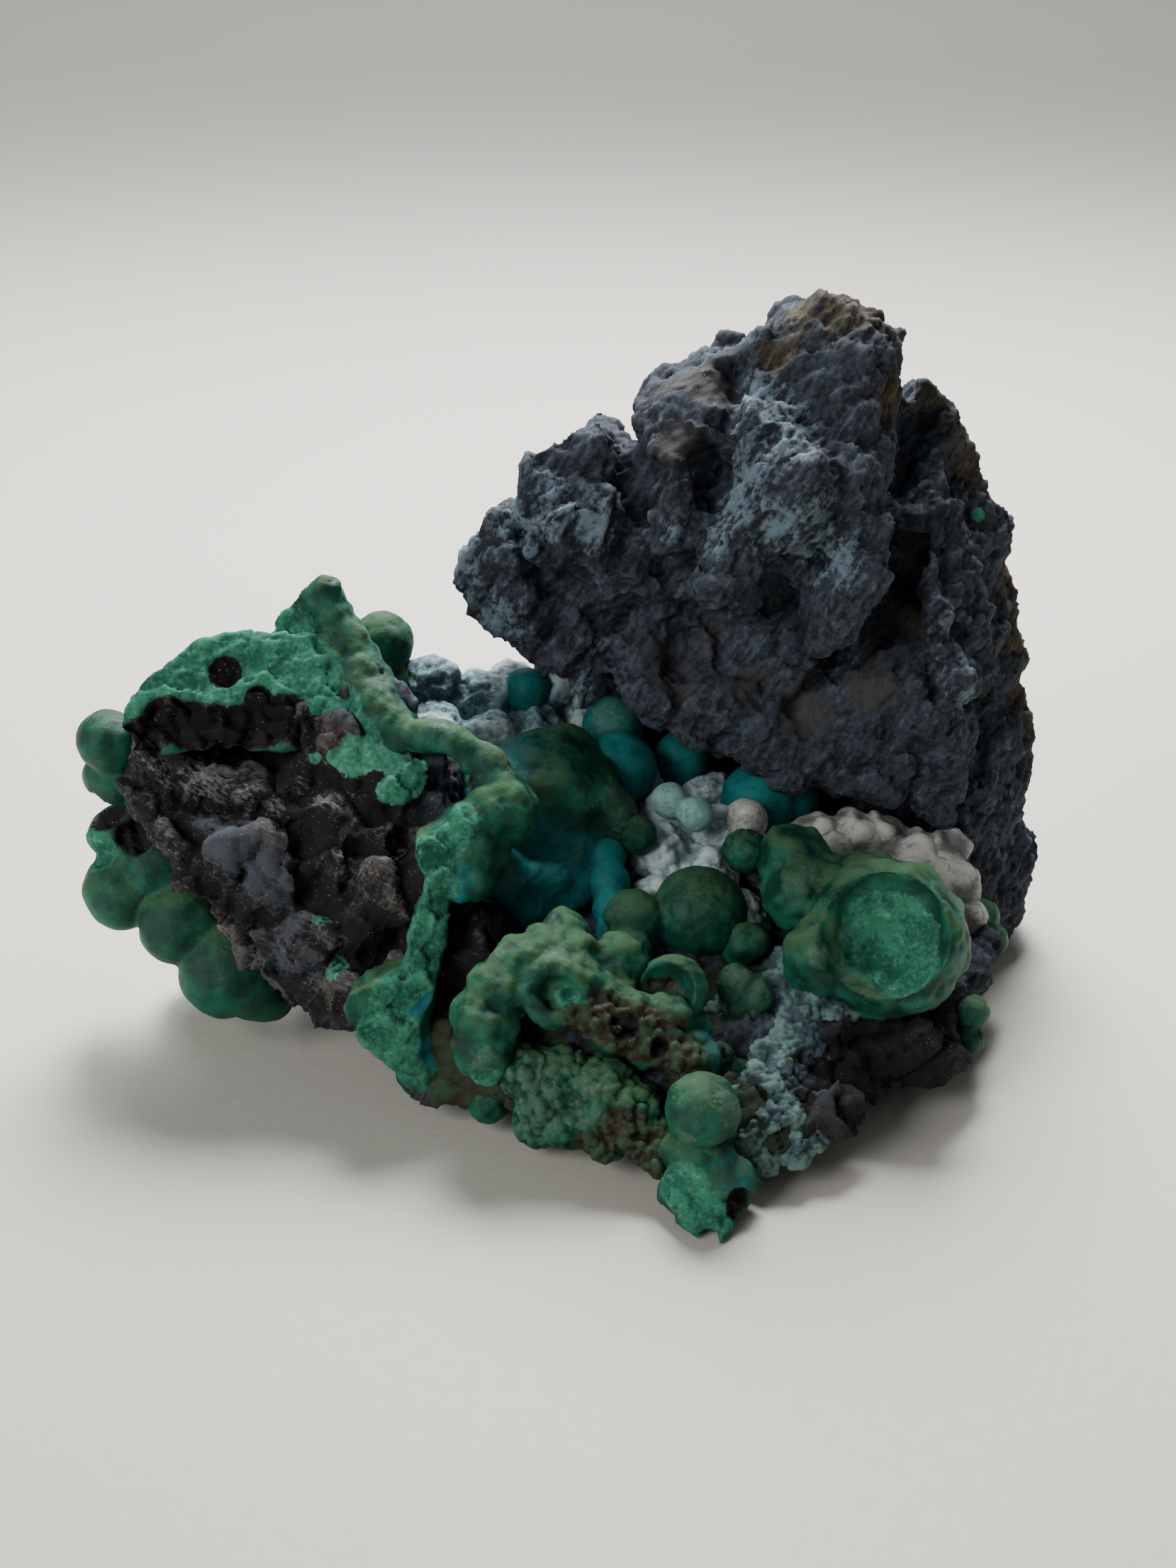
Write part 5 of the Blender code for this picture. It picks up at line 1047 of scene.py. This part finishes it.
# ==================================================================================== pale crusts
# The hollow's floor is coated with fine pale blue crystals of chrysocolla, bluer towards the back. They
# grew as powdery lumps, and the pits between them are painted dark as painted shade.
# The deep colour is partly painted shade for the crust's low places; the last number sets the painted shade
# in its pits.
FLOOR_DEEP, FLOOR_HIGH, FLOOR_PIT_SHADE = rgb(0.280, 0.370, 0.380), rgb(0.520, 0.620, 0.620), 0.35
BLUER_DEEP, BLUER_HIGH = rgb(0.050, 0.100, 0.112), rgb(0.190, 0.300, 0.325)
PIT_SHADE_BLUE = rgb(0.035, 0.055, 0.075)
FLOOR_CRUST = [
    (-13, 11.5, 23, 2.8), (-12.6, 7.4, 20.8, 2.8), (-8.6, 11.5, 21.8, 2.8), (-8, 7, 19.8, 2.9),
    (-4.4, 9.5, 19.6, 2.8), (-1, 10.6, 18.2, 2.8), (3.6, 7, 16.2, 2.8), (6.6, 3.4, 14.8, 2.8),
    (5.8, -0.4, 13.8, 2.6), (9.4, -1.4, 12.6, 2.6), (10.6, 2.6, 13.6, 2.8), (9.6, 7.4, 14.4, 2.8),
    (14, 1, 12.6, 2.6), (11.6, -4.8, 10.8, 2.4), (7, -3.4, 11.4, 2.6), (5, -4.6, 11.8, 2.2),
    (-2.6, 13, 22.2, 2.4), (-6.4, 13.4, 22.6, 2.2),
]
FLOOR_BLUER = [(-13, 10, 23.4, 4.6), (-9, 9.4, 21.6, 4.6), (-5, 11, 21, 4.4), (1, 11, 18, 3.6)]


def pale_look(place, deep, high, pits):
    """The colour, roughness and height of a powdery crust, with painted shade in its pits and low places."""
    relief = stored(place, "relief")
    grain = cloud(place, 0.3, 5.0, 0.7)
    patch = cloud(place, 2.0, 4.0)
    # The deep colour goes to the low places: painted shade between the lumps, mixed with the crust's own
    # grain and patches.
    colour = blend(ramp(grain * 0.7 + patch * 0.6 + relief * 0.6, 0.40, 0.85), deep, high)
    bluer = ramp(stored(place, "teal") + patch * 0.5 - 0.25, 0.0, 0.3)
    colour = blend(bluer, colour, blend(ramp(grain + relief * 0.6, 0.4, 0.7), BLUER_DEEP, BLUER_HIGH))
    rocky = ramp(stored(place, "rocky") + stored(place, "mossy") + grain * 0.8 + patch * 0.6 + 0.3, 0.0, 0.16)
    colour = blend(rocky, colour, blend(ramp(patch, 0.4, 0.6), MOSS_BROWN, FRESH_BROWN))
    # The pits are painted dark blue-grey: painted shade, as strong as the pits argument.
    dark = ramp(0.62 - grain - relief * 1.2 + (patch - 0.5) * 0.5, 0.12, 0.26)
    colour = blend(dark * pits, colour, PIT_SHADE_BLUE)
    return colour, 0.85 - dark * 0.1, grain


floor_skin, floor_place = new_skin("pale_chrysocolla")
surface(floor_skin, *pale_look(floor_place, FLOOR_DEEP, FLOOR_HIGH, FLOOR_PIT_SHADE), depth=0.10)
mass(
    "floor_crust", "pale_floor_crust", FLOOR_CRUST, floor_skin, "pale_chrysocolla", beads=(0.7, 0.26),
    lumps=(2.2, 0.5), teal=FLOOR_BLUER,
)

# Blue-grey druse that runs down the front from the hollow, between the cup and the arc. Its crystals are
# coarser and it is thin, so that the dark rock shows through in places.
# The last number sets the painted shade in the druse's pits.
DRUSE_DEEP, DRUSE_HIGH, DRUSE_PIT_SHADE = rgb(0.040, 0.090, 0.078), rgb(0.110, 0.190, 0.170), 0.8
BLUE_GRAIN = 0.14
BLUE_DRUSE = [
    (15, -12, 8.8, 2.1), (14.8, -10, 9.2, 1.8), (16, -14.2, 8, 1.9), (14.6, -16.2, 6.6, 2),
    (13.4, -17.6, 6.4, 1.8), (14.6, -19.4, 5.6, 1.8), (14.2, -21.8, 4.6, 1.7), (12.6, -20, 6, 1.8),
    (16.8, -20.6, 4.6, 1.5), (13.7, -12.4, 8.4, 2), (16.8, -13.4, 8.6, 1.9), (10.4, -13.6, 7.4, 1.7),
    (15.8, -16.6, 7, 2), (12.4, -22.6, 4, 1.5), (11.2, -20.8, 5.2, 1.5), (16.2, -22.6, 3.4, 1.3),
    (11, -11.4, 8.6, 1.6), (12.8, -22.6, 4.6, 1.6), (14.6, -23.6, 3, 1.4), (12.4, -24, 2.4, 1.3),
    (11.4, -22.8, 3.4, 1.4), (18.6, -14.4, 8.2, 1.6),
]
BLUE_ROCKY = [
    (12, -21.6, 6, 1), (17.2, -21.8, 4.8, 1.7), (13.4, -24.4, 4, 0.9), (17, -17.6, 7.4, 1),
    (16.4, -19.8, 6.1, 2.6),
]
blue_skin, blue_place = new_skin("blue_druse")
surface(blue_skin, *pale_look(blue_place, DRUSE_DEEP, DRUSE_HIGH, DRUSE_PIT_SHADE), depth=0.08)
mass(
    "blue_druse", "blue_druse_crust", BLUE_DRUSE, blue_skin, "pale_chrysocolla", grain=BLUE_GRAIN,
    beads=(0.5, 0.26), lumps=(1.8, 0.5), rocky=BLUE_ROCKY,
)

# Chalky white lumps that line the hollow's right wall below the overhang, and one white bead. They are the
# same powdery crust without the blue.
# The last number sets the painted shade in the white crust's pits.
WHITE_DEEP, WHITE_HIGH, WHITE_PIT_SHADE = rgb(0.150, 0.152, 0.142), rgb(0.470, 0.475, 0.440), 0.15
RIGHT_CRUST = [
    (29, 3.4, 12, 2.1), (29.6, 1, 10.4, 2), (26.4, 3.2, 12, 2.3), (23.8, 4, 12.6, 2.4),
    (21.2, 3.8, 13.2, 2.4), (18.2, 3.2, 13.4, 2.1), (29.8, -1.2, 8.6, 1.9), (26.8, 0.8, 10.6, 2.3),
    (19.8, 1.4, 12.6, 2),
]
WHITE_BEAD = [(12.6, 1.6, 16, 1.75)]
POWDER_BEADS, POWDER_LUMPS = (0.7, 0.04), (1.6, 0.12)
white_skin, white_place = new_skin("white_crust")
surface(white_skin, *pale_look(white_place, WHITE_DEEP, WHITE_HIGH, WHITE_PIT_SHADE), depth=0.10)
mass(
    "white_crust", "white_wall_crust", RIGHT_CRUST, white_skin, "white_crust",
    beads=(0.6, 0.12), lumps=(2.6, 0.8),
)
mass(
    "white_bead", "white_bead_powder", WHITE_BEAD, white_skin, "white_crust",
    beads=POWDER_BEADS, lumps=POWDER_LUMPS,
)

# Pale green beads, each a teal ball under a thin coat of the same powder. They stand with the white bead
# on the hollow's floor.
# The last number sets the painted shade in the beads' pits.
BEAD_DEEP, BEAD_HIGH, BEAD_PIT_SHADE = rgb(0.085, 0.220, 0.200), rgb(0.230, 0.400, 0.370), 0.2
PALE_BEADS = [(6.4, 1, 18.1, 1.45), (8.5, 0, 17.4, 1.4)]
bead_skin, bead_place = new_skin("pale_beads")
surface(bead_skin, *pale_look(bead_place, BEAD_DEEP, BEAD_HIGH, BEAD_PIT_SHADE), depth=0.05)
mass(
    "pale_beads", "pale_beads_powder", PALE_BEADS, bead_skin, "pale_chrysocolla",
    beads=POWDER_BEADS, lumps=POWDER_LUMPS,
)

# ==================================================================================== table, light, camera
# The specimen stands on a plain pale table, painted a little darker near the camera and in the far distance
# as painted shade for the lamps' fall-off. A large soft lamp is above it and a little behind, with a wide
# window behind that and a faint room light.
LENS, PICTURE_LONG_SIDE, NEAREST_SEEN = 45.0, 36.0, 0.005
CAMERA_PLACE, LOOK_DOWN = Vector((0.0, -136.3, 89.5)), math.radians(27.0)
TABLE_REACH = 4.0
PAPER, PAPER_LIGHT = rgb(0.54, 0.515, 0.455), rgb(0.575, 0.55, 0.49)
# The near and far paper colours are painted shade for the lamps' fall-off.
PAPER_NEAR_SHADE, PAPER_FAR_SHADE = rgb(0.385, 0.37, 0.315), rgb(0.42, 0.405, 0.37)
TOWARDS_CAMERA = (0, -1, 0)
SKY_COLOUR, SKY_STRENGTH = rgb(0.95, 0.97, 1.0), 0.18
LAMP_AIM = Vector((0, 0, 20))
LAMPS = {
    # name: place, size and power in watts of a lamp that points at the specimen
    "top_lamp": ((15, 190, 300), 170, 3.5),
    "window": ((-50, 950, 900), 900, 14.0),
    "room": ((-420, -330, 330), 380, 3.0),
}

table_mesh = bpy.data.meshes.new("table")
bm = bmesh.new()
bmesh.ops.create_grid(bm, x_segments=1, y_segments=1, size=TABLE_REACH)
bm.to_mesh(table_mesh)
bm.free()
table = bpy.data.objects.new("table", table_mesh)
bpy.context.scene.collection.objects.link(table)
table_skin, table_place = new_skin("table")
ripple = cloud(table_place, 1.3, 2.0, 0.4)
sheet = blend(cloud(table_place, 90.0, 2.0), PAPER, PAPER_LIGHT)
dot = {"operation": "DOT_PRODUCT"}
nearness = table_place.node("ShaderNodeVectorMath", dot, {0: table_place, 1: TOWARDS_CAMERA}, out="Value")
# Painted shade: the paper goes darker towards the camera and in the far distance.
sheet = blend(ramp(nearness, -30.0, 90.0), sheet, PAPER_NEAR_SHADE)
sheet = blend(ramp(nearness, -90.0, -420.0), sheet, PAPER_FAR_SHADE)
surface(table_skin, sheet, ripple * 0.1 + 0.5, ripple, depth=0.05)
table_mesh.materials.append(table_skin)

for name, (place, size, power) in LAMPS.items():
    light = bpy.data.lights.new(name, "AREA")
    light.shape, light.size, light.energy = "DISK", size * MM, power
    lamp = bpy.data.objects.new(name, light)
    bpy.context.scene.collection.objects.link(lamp)
    lamp.location = Vector(place) * MM
    lamp.rotation_mode = "QUATERNION"
    lamp.rotation_quaternion = (LAMP_AIM - Vector(place)).to_track_quat("-Z", "Y")

sky = bpy.data.worlds.new("studio")
sky.use_nodes = True
background = sky.node_tree.nodes["Background"]
background.inputs["Color"].default_value = SKY_COLOUR
background.inputs["Strength"].default_value = SKY_STRENGTH
bpy.context.scene.world = sky

lens = bpy.data.cameras.new("camera")
lens.lens, lens.sensor_width, lens.clip_start = LENS, PICTURE_LONG_SIDE, NEAREST_SEEN
camera = bpy.data.objects.new("camera", lens)
bpy.context.scene.collection.objects.link(camera)
camera.location = (CAMERA_PLACE + MIDDLE) * MM
camera.rotation_euler = (math.radians(90) - LOOK_DOWN, 0, 0)
bpy.context.scene.camera = camera
